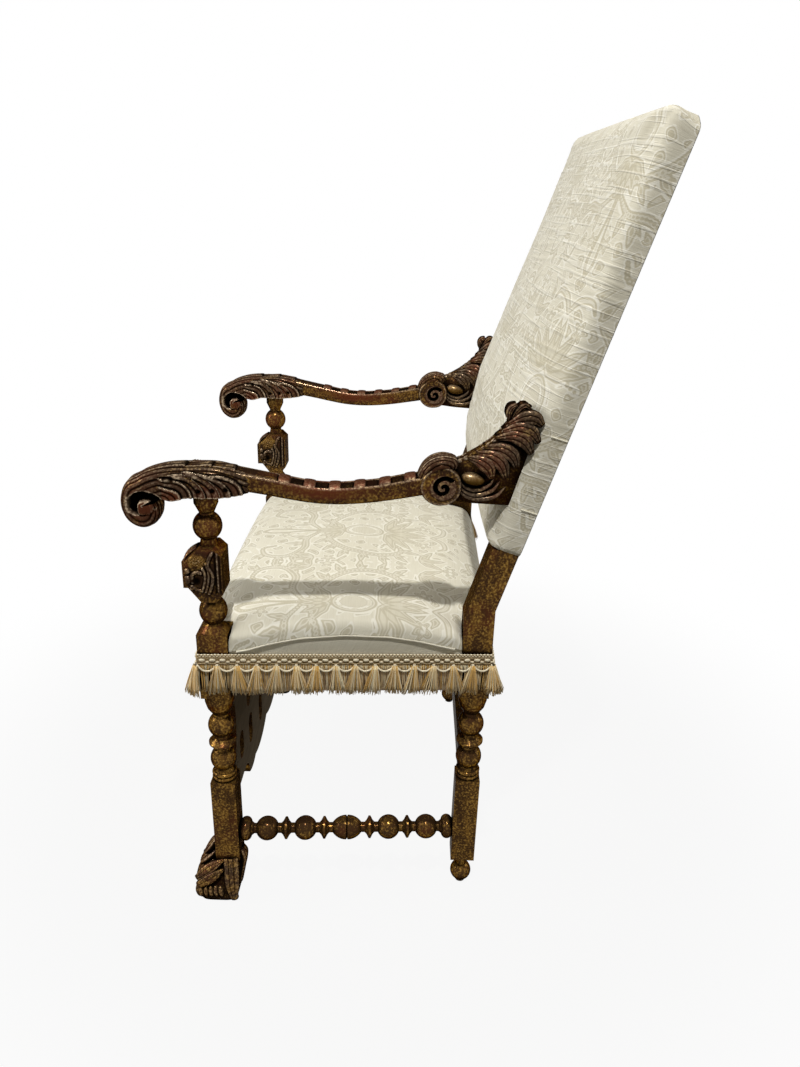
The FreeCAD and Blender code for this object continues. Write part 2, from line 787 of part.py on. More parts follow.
# Fasteners
def make_peg(name, x, y, z, axis, angle):
    """A round peg driven inwards from a post's face through a tenon."""
    peg = doc.addObject("Part::Cylinder", name)
    bind(peg, Radius="peg_radius", Height="peg_length")
    peg.Placement = FreeCAD.Placement(V(0, 0, 0), FreeCAD.Rotation(axis, angle))
    bind(peg, Placement__Base__x=x, Placement__Base__y=y, Placement__Base__z=z)
    return peg


ARM_TENON_MIDDLE = "(arm_underside + arm_tenon_height)"
ARM_TENON_FACE = (f"({REAR_POST_Y} + ({ARM_TENON_MIDDLE} - knee_height) * tan(rake)"
                  " - rear_post_depth / 2 / cos(rake))")


def make_pegs():
    inward = (V(0, 1, 0), -90)
    backward = (V(1, 0, 0), -90)
    forward = (V(1, 0, 0), 90)
    half_tenon = "tenon_length / 2"
    left = [
        make_peg("peg_front_rail", f"front_half - seat_block / 2 + {half_tenon}",
                 "front_post_y - seat_block / 2", PEG_HEIGHT, *backward),
        make_peg("peg_side_rail_front", "front_half + seat_block / 2",
                 f"front_post_y + seat_block / 2 - {half_tenon}", PEG_HEIGHT, *inward),
        make_peg("peg_rear_rail", f"rear_half - seat_block / 2 + {half_tenon}",
                 f"{REAR_POST_Y} + seat_block / 2", PEG_HEIGHT, *forward),
        make_peg("peg_side_rail_rear", "rear_half + seat_block / 2",
                 f"{REAR_POST_Y} - seat_block / 2 + {half_tenon}", PEG_HEIGHT, *inward),
        make_peg("peg_arm", "rear_half + rear_post_width / 2",
                 f"{ARM_TENON_FACE} + {half_tenon}", ARM_TENON_MIDDLE, *inward),
    ]
    left_group = compound("pegs_left", left)
    return compound("tenon_pegs", [left_group, mirrored("pegs_right", left_group)])


GLUE_BLOCK_TOP = "(rail_top - screw_head_radius)"
GLUE_BLOCK_BOTTOM = f"({GLUE_BLOCK_TOP} - glue_block_height)"
RAIL_INNER = f"(seat_block / 2 - {RAIL_RECESS} - rail_thickness)"


def make_screw(name, x, y, z, axis, angle):
    """A wood screw: round shank and flat head, with the underside of the head at its origin."""
    body = new_body(name)
    add_cylinder(body, name + "_shank", "0", "screw_radius", "screw_length")
    add_cylinder(body, name + "_head", "-screw_head_height", "screw_head_radius", "screw_head_height")
    body.Placement = FreeCAD.Placement(V(0, 0, 0), FreeCAD.Rotation(axis, angle))
    bind(body, Placement__Base__x=x, Placement__Base__y=y, Placement__Base__z=z)
    return body


def make_screws():
    """Two screws in each glue block, one into each rail, heads on the block's inner faces."""
    reach = "(seat_block / 2 + screw_head_radius * 2)"
    sink = "screw_length / 2"
    height = f"({GLUE_BLOCK_BOTTOM} + glue_block_height / 2)"
    low = f"({height} - screw_head_radius * 1.5)"
    high = f"({height} + screw_head_radius * 1.5)"
    outward = (V(0, 1, 0), 90)
    forward = (V(1, 0, 0), 90)
    backward = (V(1, 0, 0), -90)
    left = [
        make_screw("screw_front_rail", f"front_half - {reach}",
                   f"front_post_y - {RAIL_INNER} + {sink}", low, *forward),
        make_screw("screw_front_side", f"front_half + {RAIL_INNER} - {sink}",
                   f"front_post_y + {reach}", high, *outward),
        make_screw("screw_rear_rail", f"rear_half - {reach}",
                   f"{REAR_POST_Y} + {RAIL_INNER} - {sink}", low, *backward),
        make_screw("screw_rear_side", f"rear_half + {RAIL_INNER} - {sink}",
                   f"{REAR_POST_Y} - {reach}", high, *outward),
    ]
    left_group = compound("screws_left", left)
    return compound("glue_block_screws", [left_group, mirrored("screws_right", left_group)])


def make_glue_block(name, x, y, toward):
    """Triangular block in a corner of the seat frame, before its mates are taken out."""
    body = new_body(name)
    sketch = closed_sketch(body, name + "_outline", "XY_Plane", [
        (RAIL_OFFSET, f"-{toward} * {RAIL_OFFSET}", None),
        ("-glue_block_leg", f"-{toward} * {RAIL_OFFSET}", None),
        ("-glue_block_leg", f"{toward} * rail_thickness / 2", None),
        ("-rail_thickness / 2", f"{toward} * glue_block_leg", None),
        (RAIL_OFFSET, f"{toward} * glue_block_leg", None),
    ])
    pad = body.newObject("PartDesign::Pad", name + "_pad")
    pad.Profile = sketch
    bind(pad, Length="glue_block_height")
    return place(body, x=x, y=y, z=GLUE_BLOCK_BOTTOM)


# Webbing, hessian and tacks of the seat
def strap_places(count):
    """Even places between -1 and 1 for a number of straps."""
    return [(2 * index + 1) / count - 1 for index in range(count)]


def side_half(y):
    """Half width between the side rails' outer edges at a distance behind the front posts."""
    slope = val("(front_half - rear_half) / post_spacing")
    return val("front_half") - slope * y + val(f"(seat_block / 2 - {RAIL_RECESS})")


LONG_STRAPS = strap_places(5)
CROSS_STRAPS = strap_places(4)
BACK_STRAPS = strap_places(4)


def strap_boxes():
    """Straps as (corner, length, width): lengthways ones over the crossways ones."""
    width = val("webbing_width")
    edge = val(f"rail_thickness - webbing_lap + {RAIL_RECESS}")
    front = val("front_post_y - seat_block / 2") + edge
    rear = val(f"{REAR_POST_Y} + seat_block / 2") - edge
    reach = val("rear_half - seat_block") - width / 2
    straps = []
    for share in LONG_STRAPS:
        corner = V(share * reach - width / 2, front, val("rail_top + webbing_thickness"))
        straps.append((corner, width, rear - front))
    depth = val("post_spacing / 2 - seat_block") - width / 2
    for share in CROSS_STRAPS:
        y = val("post_spacing / 2") + share * depth
        half = side_half(y + width / 2) - val("rail_thickness - webbing_lap")
        corner = V(-half, val("front_post_y") + y - width / 2, val("rail_top"))
        straps.append((corner, 2 * half, width))
    return straps


def make_tacks(straps):
    """Two tacks through each strap end into the rail under it."""
    radius = val("tack_radius")
    head = Part.makeCylinder(val("tack_head_radius"), val("tack_head_height"))
    shank = Part.makeCylinder(radius, val("tack_length"), V(0, 0, -val("tack_length")))
    tack = head.fuse(shank).removeSplitter()
    inset = val("webbing_lap / 2")
    quarter = val("webbing_width / 4")
    group = []
    for corner, length, width in straps:
        along_x = length > width
        run = length if along_x else width
        across = width if along_x else length
        for end in (inset, run - inset):
            for shift in (across / 2 - quarter, across / 2 + quarter):
                place_of = V(end, shift, 0) if along_x else V(shift, end, 0)
                copy = tack.copy()
                copy.translate(corner + place_of + V(0, 0, val("webbing_thickness")))
                group.append(copy)
    return direct("webbing_tacks", Part.makeCompound(group))


def make_seat_webbing(straps):
    boxes = [Part.makeBox(length, width, val("webbing_thickness"), corner)
             for corner, length, width in straps]
    return direct("seat_webbing_straps", Part.makeCompound(boxes))


# Seat upholstery
def seat_section(y, inset, bottom, side, crown):
    """Cross-section of the seat at a place behind the front posts: flat sides and a crowned top."""
    half = side_half(y) + val(RAIL_RECESS) - inset
    left_low = V(-half, y, bottom)
    left_high = V(-half, y, side - inset)
    right_high = V(half, y, side - inset)
    right_low = V(half, y, bottom)
    return Part.Wire([
        line_to(left_low, left_high),
        arc_through(left_high, V(0, y, crown - inset), right_high),
        line_to(right_high, right_low),
        line_to(right_low, left_low),
    ])


def seat_form(inset, bottom):
    """Crowned seat drawn in by an inset on every outer side."""
    front = val("-seat_block / 2") + inset
    rear = val("post_spacing + seat_block / 2") - inset
    low = val("seat_side_low")
    middle = val("post_spacing / 2")
    roll = val("seat_roll")
    front_edge = (2 * val("seat_crown_front") + low) / 3
    stations = (
        (front, low, front_edge),
        (front + roll, (low + val("seat_side_mid")) / 2, val("seat_crown_front")),
        (middle, val("seat_side_mid"), val("seat_crown_mid")),
        (rear - roll, (low + val("seat_side_mid")) / 2, (val("seat_crown_mid + seat_crown_rear")) / 2),
        (rear, low, val("seat_crown_rear")),
    )
    wires = [seat_section(y, inset, bottom, side, crown) for y, side, crown in stations]
    return Part.makeLoft(wires, True, False)


def make_post_clearances():
    """Boxes from the inner faces of the four posts outwards, that the soft pieces are cut back to."""
    boxes = []
    inner = "(seat_block / 2 + soft_gap)"
    for name, x, y in (
            ("front", "front_half", "front_post_y - 2 * seat_block"),
            ("rear", "rear_half", f"{REAR_POST_Y} - {inner}")):
        box = doc.addObject("Part::Box", name + "_post_clearance")
        bind(box, Length="2 * seat_block", Width=f"2 * seat_block + {inner}",
             Height="seat_block_top - rail_bottom + seat_roll")
        place(box, x=f"{x} - {inner}", y=y, z="rail_bottom")
        boxes += [box, mirrored(name + "_post_clearance_right", box)]
    return boxes


def make_seat_soft(clearances):
    outer = seat_form(0, val("cover_bottom"))
    hollow = seat_form(val("cover_thickness"), val("rail_bottom"))
    shell = direct("seat_cover_shell", outer.cut(hollow))
    place(shell, y="front_post_y")
    filling = direct("seat_stuffing_form", seat_form(
        val("cover_thickness + soft_gap"), val(f"{HESSIAN_BOTTOM} + hessian_thickness")))
    place(filling, y="front_post_y")
    front = val(f"-seat_block / 2 + {RAIL_RECESS}")
    rear = val(f"post_spacing + seat_block / 2 - {RAIL_RECESS}")
    corners = [V(-side_half(front), front, 0), V(side_half(front), front, 0),
               V(side_half(rear), rear, 0), V(-side_half(rear), rear, 0)]
    outline = Part.makePolygon(corners + corners[:1])
    sheet_form = direct("seat_hessian_form", Part.Face(outline).extrude(V(0, 0, val("hessian_thickness"))))
    place(sheet_form, y="front_post_y", z=HESSIAN_BOTTOM)
    return (cut("seat_cover", shell, clearances),
            cut("seat_stuffing", filling, clearances),
            cut("seat_hessian", sheet_form, clearances))


# Gimp braid and tassel fringe round the seat
def make_trim_run(name, side, top, height, thickness):
    """One straight run of trim on the front, the rear or the left side."""
    if side == "left":
        body = new_body(name)
        # The run clears the corners of the posts, which stand square while the side slants
        inner = f"seat_block / 2 * (1 + tan({TAPER}))"
        add_box(body, name + "_run", inner, "-seat_block / 2", f"{top} - ({height})",
                thickness, f"{POST_RUN} + seat_block - ({thickness}) / 2 - soft_gap", height)
        return place_on_side(body)
    half = "front_half" if side == "front" else "rear_half"
    reach = f"({half} + seat_block / 2 + {thickness})"
    outer = f"front_post_y - seat_block / 2 - {thickness}"
    if side == "rear":
        outer = f"{REAR_POST_Y} + seat_block / 2"
    box = doc.addObject("Part::Box", name)
    bind(box, Length=f"2 * {reach}", Width=thickness, Height=height)
    return place(box, x=f"-{reach}", y=outer, z=f"{top} - ({height})")


def make_trim():
    for side in ("front", "rear", "left"):
        gimp = make_trim_run(f"gimp_{side}", side, "gimp_top", "gimp_height", "gimp_thickness")
        fringe = make_trim_run(f"fringe_{side}", side, "(gimp_top - gimp_height)",
                               "fringe_length", "fringe_thickness")
        for piece in (gimp, fringe):
            if side == "left":
                keep_pair(piece)
            else:
                keep(piece)


# Arms
def side_slab(edges, width):
    """A slab of a side outline given as edges in (Y, Z), centred on the arm's own plane."""
    face = Part.Face(Part.Wire(Part.__sortEdges__(edges)))
    slab = face.extrude(V(width, 0, 0))
    slab.translate(V(-width / 2, 0, 0))
    return slab


def arm_leaf_block():
    """Front of the arm over its support, rising to a low hump under the carved leaf."""
    under = val("arm_underside")
    top = under + val("arm_leaf_height")
    rear = val("arm_leaf_rear")
    radius = val("scroll_radius")
    eye = V(0, val("scroll_y"), under - val("scroll_drop"))
    low_front = V(0, eye.y + radius, under)
    low_rear = V(0, rear, under)
    high_rear = V(0, rear, top - val("arm_leaf_fall"))
    high_front = V(0, eye.y + val("scroll_crest"), top - val("arm_leaf_fall"))
    nose = eye - V(0, radius, 0)
    # The brow of the curl stands a little outside the chord between the crest and the nose
    brow = V(0, eye.y - radius / 2, (eye.z + high_front.z) / 2 + radius / 4)
    return side_slab([
        line_to(low_front, low_rear),
        line_to(low_rear, high_rear),
        arc_through(high_rear, V(0, 0, top), high_front),
        arc_through(high_front, brow, nose),
        line_to(nose, eye),
        line_to(eye, low_front),
    ], val("arm_leaf_width"))


def arm_scroll():
    """Front scroll curling down under the end of the arm."""
    width = val("arm_leaf_width")
    centre = V(-width / 2, val("scroll_y"), val("arm_underside - scroll_drop"))
    return Part.makeCylinder(val("scroll_radius"), width, centre, V(1, 0, 0))


def arm_middle():
    """Sagging middle of the arm between the leaf and the rear volute."""
    front = val("arm_leaf_rear")
    rear = val("volute_y")
    middle = (front + rear) / 2
    low = val("arm_underside + arm_middle_rise")
    high = low + val("arm_depth + arm_end_swell")
    sag = val("arm_sag")
    low_front = V(0, front, low)
    low_rear = V(0, rear, low - val("arm_end_swell"))
    high_rear = V(0, rear, high)
    high_front = V(0, front, high)
    return side_slab([
        arc_through(low_front, V(0, middle, low - sag), low_rear),
        line_to(low_rear, high_rear),
        arc_through(high_rear, V(0, middle, low - sag + val("arm_depth")), high_front),
        line_to(high_front, low_front),
    ], val("arm_width"))


def arm_volute():
    width = val("arm_width + 2 * volute_proud")
    centre = V(-width / 2, val("volute_y"), val("arm_underside + volute_rise"))
    return Part.makeCylinder(val("volute_radius"), width, centre, V(1, 0, 0))


def arm_hump():
    """Leaf that folds over the top of the volute."""
    width = val("arm_width")
    centre = V(-width / 2, val("volute_y + hump_shift"), val("arm_underside + volute_rise + hump_radius"))
    return Part.makeCylinder(val("hump_radius"), width, centre, V(1, 0, 0))


def arm_bracket():
    """Leaf-shaped bracket rising from the volute to a tip against the upright."""
    y = val("volute_y")
    low = val("arm_underside - bracket_drop")
    tip_height = val("arm_underside + bracket_rise")
    # The rear edge follows the rake inside the upright, which is then taken out of the slab
    middle = val(f"{ARM_TENON_FACE} - front_post_y + rear_post_depth / 2")
    slope = val("tan(rake)")
    rear_top = tip_height - val("bracket_shoulder")
    tip = V(0, y + val("bracket_reach"), tip_height)
    inner_tip = tip - V(0, val("bracket_tip_width"), val("bracket_tip_depth"))
    hollow = V(0, y + val("bracket_hollow_reach"), tip_height - val("bracket_hollow_drop"))
    rear_low = V(0, middle + (low - val(ARM_TENON_MIDDLE)) * slope, low)
    rear_high = V(0, middle + (rear_top - val(ARM_TENON_MIDDLE)) * slope, rear_top)
    foot = val("bracket_foot")
    start_low = V(0, y - foot, low)
    start_high = V(0, y + foot, val("arm_underside + volute_rise + volute_radius"))
    return side_slab([
        line_to(start_low, rear_low),
        line_to(rear_low, rear_high),
        line_to(rear_high, tip),
        line_to(tip, inner_tip),
        arc_through(inner_tip, hollow, start_high),
        line_to(start_high, start_low),
    ], val("arm_width"))


def make_arm(front_post, rear_post, pegs):
    blank = arm_leaf_block().fuse([arm_scroll(), arm_middle(), arm_volute(), arm_hump(), arm_bracket()])
    blank = place_on_side(direct("arm_blank", blank.removeSplitter()), ARM_TAPER)
    trimmed = cut("arm_trimmed", blank, [rear_post])
    tenon = doc.addObject("Part::Box", "arm_tenon")
    bind(tenon, Length="arm_tenon_width", Width="2 * tenon_length", Height="arm_tenon_height")
    place(tenon, x="arm_rear_half - arm_tenon_width", y=f"{ARM_TENON_FACE} - tenon_length",
          z=f"{ARM_TENON_MIDDLE} - arm_tenon_height / 2")
    joined = fuse("arm_with_tenon", [trimmed, tenon])
    return cut("arm_left", joined, [front_post, pegs])


# Frame and upholstery of the back
def make_back_rail(name, bottom):
    """Rail between the uprights, its front face a strap's thickness proud under the upper webbing."""
    body = new_body(name)
    inner = "(rear_half - rear_post_width / 2)"
    middle = "(back_rail_thickness / 2 - rear_post_depth / 2 - webbing_thickness)"
    add_tenoned_bar(body, "X", f"-{inner}", inner, middle, bottom, "back_rail_thickness",
                    "back_rail_height")
    return place_on_back(body)


def back_section(s, inset, rear, edge, crown):
    """Section of the back square to the rake: flat behind, straight sides and a crowned front."""
    half = val(BACK_HALF) - inset
    front = -(val("rear_post_depth / 2") + edge - inset)
    peak = -(val("rear_post_depth / 2") + crown - inset)
    rear_left = V(-half, rear, s)
    front_left = V(-half, front, s)
    front_right = V(half, front, s)
    rear_right = V(half, rear, s)
    return Part.Wire([
        line_to(rear_left, front_left),
        arc_through(front_left, V(0, peak, s), front_right),
        line_to(front_right, rear_right),
        line_to(rear_right, rear_left),
    ])


# Swell of the back as (share of its height, share of the crown beyond the padded edge)
BACK_STATIONS = ((0.0, 0.15), (0.12, 0.75), (0.28, 1.0), (0.55, 0.75), (0.82, 0.38), (1.0, 0.1))


def back_form(inset, rear):
    """Padded back: it swells most in its lower third and thins towards the top."""
    bottom = val("back_bottom") + inset
    top = val("back_top") - inset
    edge = val("back_edge_pad")
    crown = val("back_crown")
    run = top - bottom
    wires = [back_section(bottom + run * share, inset, rear, edge, edge + crown * swell)
             for share, swell in BACK_STATIONS]
    return Part.makeLoft(wires, True, False)


def make_back_straps(arms):
    """Upright straps on the rails over level straps on the uprights."""
    width = val("webbing_width")
    thickness = val("webbing_thickness")
    face = -val("rear_post_depth / 2")
    low = val("back_bottom + back_rail_margin + back_rail_height - webbing_lap")
    high = val("back_top - back_rail_margin - back_rail_height + webbing_lap")
    reach = val("rear_half - rear_post_width") - width / 2
    boxes = []
    for share in BACK_STRAPS:
        corner = V(share * reach - width / 2, face - 2 * thickness, low)
        boxes.append(Part.makeBox(width, thickness, high - low, corner))
    half = val("rear_half - rear_post_width / 2 + webbing_lap")
    middle = (low + high) / 2
    climb = (high - low) / 2 - val("webbing_lap") - width / 2
    for share in BACK_STRAPS:
        corner = V(-half, face - thickness, middle + share * climb - width / 2)
        boxes.append(Part.makeBox(2 * half, thickness, width, corner))
    straps = place_on_back(direct("back_webbing_straps", Part.makeCompound(boxes)))
    return cut("back_webbing", straps, arms)


def make_back_soft(uprights, arms):
    thickness = val("cover_thickness")
    rear = val("rear_post_depth / 2")
    hollow = back_form(thickness, rear + thickness)
    shell = place_on_back(direct("back_cover_shell", back_form(0, rear).cut(hollow)))
    hessian_back = -val("rear_post_depth / 2 + 2 * webbing_thickness")
    hessian_front = hessian_back - val("hessian_thickness")
    filling = place_on_back(direct("back_stuffing_form", back_form(
        thickness + val("soft_gap"), hessian_front)))
    half = val("rear_half")
    low = val("back_bottom + back_rail_margin")
    high = val("back_top - back_rail_margin")
    cloth = place_on_back(direct("back_hessian_cloth", Part.makeBox(
        2 * half, val("hessian_thickness"), high - low, V(-half, hessian_front, low))))
    return (cut("back_cover", shell, uprights + arms),
            cut("back_stuffing", filling, arms),
            cut("back_hessian", cloth, arms))


def make_outside_back():
    body = new_body("back_outside_cover")
    add_box(body, "back_outside_panel", f"-{BACK_HALF}", "rear_post_depth / 2", "back_bottom",
            f"2 * {BACK_HALF}", "cover_thickness", "back_top - back_bottom")
    return place_on_back(body)


def make_frame():
    front_blank = make_front_post_blank()
    rear_blank = make_rear_post_blank()
    front_foot = make_front_foot()
    rear_foot = make_rear_foot()
    stretcher = make_side_stretcher()
    panel = make_front_stretcher()
    rear_stretcher = make_rear_stretcher()
    pegs = make_pegs()
    screws = make_screws()
    straps = strap_boxes()
    tacks = make_tacks(straps)
    webbing = cut("seat_webbing", make_seat_webbing(straps), [tacks])
    front_rail_blank, rear_rail_blank, left_rail_blank = make_seat_rails()
    front_rail = cut("front_seat_rail", front_rail_blank, [pegs, screws, tacks])
    rear_rail = cut("rear_seat_rail", rear_rail_blank, [pegs, screws, tacks])
    left_rail = cut("left_seat_rail", left_rail_blank, [pegs, screws, tacks])
    top_rail = make_back_rail("back_top_rail", "back_top - back_rail_margin - back_rail_height")
    bottom_rail_blank = make_back_rail("back_bottom_rail_blank", "back_bottom + back_rail_margin")
    # Lower arms would bring their pegs through the tenons of this rail
    bottom_rail = cut("back_bottom_rail", bottom_rail_blank, [pegs])
    arm = make_arm(front_blank, rear_blank, pegs)
    front_post = cut("front_post_left", front_blank,
                     [front_foot, stretcher, panel, front_rail, left_rail, pegs])
    rear_post = cut("rear_post_left", rear_blank,
                    [rear_foot, stretcher, rear_stretcher, rear_rail, left_rail, top_rail,
                     bottom_rail, arm, pegs])
    glue_front = cut("glue_block_front_left",
                     make_glue_block("glue_front_blank", "front_half", "front_post_y", 1),
                     [front_blank, front_rail_blank, left_rail_blank, screws])
    glue_rear = cut("glue_block_rear_left",
                    make_glue_block("glue_rear_blank", "rear_half", REAR_POST_Y, -1),
                    [rear_blank, rear_rail_blank, left_rail_blank, screws])
    for left in (front_foot, rear_foot, stretcher, left_rail, front_post, rear_post, glue_front, glue_rear):
        keep_pair(left)
    keep(panel, rear_stretcher, front_rail, rear_rail, top_rail, bottom_rail, pegs, screws, tacks, webbing)
    right_arm = keep_pair(arm)
    return [rear_blank, mirrored("rear_post_blank_right", rear_blank)], [arm, right_arm]


def make_upholstery(uprights, arms):
    keep(*make_seat_soft(make_post_clearances()))
    keep(*make_back_soft(uprights, arms))
    keep(make_back_straps(arms), make_outside_back())
    make_trim()


def check_and_write():
    doc.recompute()
    bad = [obj.Name for obj in doc.Objects if "Invalid" in obj.State or "Error" in obj.State]
    for name, piece in nodes.items():
        if piece.Shape.isNull() or not piece.Shape.isValid() or not piece.Shape.Solids:
            bad.append(name)
    if bad:
        raise RuntimeError("failed: " + ", ".join(bad))
    os.makedirs("parts", exist_ok=True)
    for name, piece in nodes.items():
        piece.Label = name
        piece.Shape.exportStep(f"parts/{name}.step")
    print(len(nodes), "nodes written")


upright_blanks, chair_arms = make_frame()
make_upholstery(upright_blanks, chair_arms)
check_and_write()
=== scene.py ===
import json
import math
import random

import bpy
import numpy as np
from mathutils import Matrix, Vector


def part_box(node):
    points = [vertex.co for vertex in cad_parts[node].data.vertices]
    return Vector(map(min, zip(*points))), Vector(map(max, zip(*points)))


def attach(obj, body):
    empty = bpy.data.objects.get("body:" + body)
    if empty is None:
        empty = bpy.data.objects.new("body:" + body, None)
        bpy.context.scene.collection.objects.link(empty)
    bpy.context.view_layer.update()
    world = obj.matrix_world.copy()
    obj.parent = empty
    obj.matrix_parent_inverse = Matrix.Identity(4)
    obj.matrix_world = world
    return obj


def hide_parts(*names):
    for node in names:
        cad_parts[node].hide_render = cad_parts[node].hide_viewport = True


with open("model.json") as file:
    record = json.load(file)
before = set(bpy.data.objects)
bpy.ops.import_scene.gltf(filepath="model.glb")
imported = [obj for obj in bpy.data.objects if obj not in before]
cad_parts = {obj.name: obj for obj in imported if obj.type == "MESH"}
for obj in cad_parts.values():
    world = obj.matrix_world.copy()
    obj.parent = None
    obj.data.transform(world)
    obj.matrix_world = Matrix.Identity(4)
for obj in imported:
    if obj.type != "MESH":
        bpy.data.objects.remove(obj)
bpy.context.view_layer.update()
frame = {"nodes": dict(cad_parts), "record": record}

# Sizes of the frame in millimetres, as the solids have them.
# Shapes are drawn with Y counted from the axis of the front posts, and moved to the chair's frame at the end.
FRONT_POST_Y = -242.8
FRONT_HALF = 285.0
REAR_HALF = 260.5
POST_SPACING = 378.5
SEAT_BLOCK = 44.0
KNEE_HEIGHT = 510.0
RAKE = math.radians(16.6)
ARM_REAR_HALF = 268.0

SIDE_SLOPE = (FRONT_HALF - REAR_HALF) / POST_SPACING
ARM_TAPER = math.atan((FRONT_HALF - ARM_REAR_HALF) / POST_SPACING)
SEED = 7


# Curves and grids
def smooth_path(controls, count, axes=2):
    """Even samples of a Catmull-Rom curve through rows of numbers; its length is counted along the axes."""
    rows = np.asarray(controls, float)
    padded = np.vstack([2 * rows[0] - rows[1], rows, 2 * rows[-1] - rows[-2]])
    t = np.linspace(0, 1, 40, endpoint=False)[:, None]
    pieces = []
    for i in range(len(rows) - 1):
        a, b, c, d = padded[i:i + 4]
        pieces.append(0.5 * (2 * b + (c - a) * t + (2 * a - 5 * b + 4 * c - d) * t ** 2
                             + (3 * b - a - 3 * c + d) * t ** 3))
    pieces.append(rows[-1:])
    dense = np.vstack(pieces)
    steps = np.linalg.norm(np.diff(dense[:, :axes], axis=0), axis=1)
    along = np.concatenate([[0], np.cumsum(steps)])
    even = np.linspace(0, along[-1], count)
    return np.stack([np.interp(even, along, column) for column in dense.T], axis=1)


def smoothstep(values, low, high):
    t = np.clip((values - low) / (high - low), 0, 1)
    return t * t * (3 - 2 * t)


def follow(values, points):
    """Heights at these values on a line through (value, height) points."""
    return np.interp(values, *np.array(points, float).T)


def spread(low, high, cell):
    """Numbers from low to high in even steps of about a cell."""
    return np.linspace(low, high, round((high - low) / cell) + 1)


def bump_at(values, middle, half):
    return np.exp(-((values - middle) / half) ** 2)


def ridge(phase, sharpness=0.6):
    """Rounded ridges with sharp grooves between them, one for each whole number of the phase."""
    return np.abs(np.sin(math.pi * phase)) ** sharpness


def circle(count):
    return 2 * math.pi * np.arange(count) / count


def grid_faces(rows, cols, wrap=True):
    """Quads of a grid of points stored row by row; wrap closes each row into a ring."""
    faces = []
    last = cols if wrap else cols - 1
    for r in range(rows - 1):
        for c in range(last):
            d = (c + 1) % cols
            faces.append((r * cols + c, r * cols + d, (r + 1) * cols + d, (r + 1) * cols + c))
    return faces


def tube_faces(rows, cols):
    """A wrapped grid with its first and last ring closed."""
    ends = [tuple(range(cols - 1, -1, -1)), tuple(range((rows - 1) * cols, rows * cols))]
    return grid_faces(rows, cols) + ends


def unit(rows):
    return rows / np.linalg.norm(rows, axis=-1, keepdims=True)


def carving_paint(lift, reach=3, scale=0.6):
    """Carved grid's paint: painted highlight and wear where it stands out, painted shade where it lies under.
    """
    mean = lift
    for axis in (0, 1):
        edges = [(0, 0), (0, 0)]
        edges[axis] = (reach, reach)
        padded = np.pad(mean, edges, mode="edge")
        mean = np.lib.stride_tricks.sliding_window_view(padded, 2 * reach + 1, axis=axis).mean(axis=-1)
    over = (lift - mean) / scale
    return {"worn": np.clip(over, 0, 1) ** 1.6, "dark": np.clip(-over, 0, 1)}


# Objects
def add_object(name, data):
    added = bpy.data.objects.new(name, data)
    bpy.context.scene.collection.objects.link(added)
    return added


def to_metres(points):
    """Millimetres from the front posts' axis to metres in the chair's frame."""
    return (points + np.array([0, FRONT_POST_Y, 0])) * 0.001


def paint_layer(mesh, layer, values):
    mesh.attributes.new(layer, "FLOAT", "POINT").data.foreach_set("value", values.astype(np.float32))


class Shape:
    """Points in millimetres with faces, and painted layers with one number for each point.

    place turns the points of each added part into the chair's own.
    """

    LAYERS = ("red", "dark", "gold", "worn", "tint")

    def __init__(self, place=None):
        self.place = place
        self.points = []
        self.faces = []
        self.paint = {layer: [] for layer in self.LAYERS}
        self.count = 0

    def add(self, points, faces, carved=None, **paint):
        """Add a part; carved is the paint that its carving brings, and other paint goes over it."""
        points = np.asarray(points, float).reshape(-1, 3)
        if self.place:
            points = self.place(points)
        self.points.append(points)
        self.faces += [tuple(i + self.count for i in face) for face in faces]
        paint = {**(carved or {}), **paint}
        for layer in self.LAYERS:
            self.paint[layer].append(np.broadcast_to(np.ravel(paint.get(layer, 0.0)), len(points)))
        self.count += len(points)

    def make(self, name, material, slot, mirror=False):
        points = np.vstack(self.points)
        faces = self.faces
        if mirror:
            points = points * np.array([-1, 1, 1])
            faces = [face[::-1] for face in faces]
        mesh = bpy.data.meshes.new(name)
        mesh.from_pydata(to_metres(points).tolist(), [], faces)
        for layer, parts in self.paint.items():
            values = np.concatenate(parts)
            if values.any():
                paint_layer(mesh, layer, values)
        mesh.polygons.foreach_set("use_smooth", [True] * len(mesh.polygons))
        mesh.update()
        mesh.materials.append(material)
        piece = add_object(name, mesh)
        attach(piece, "root")
        return piece


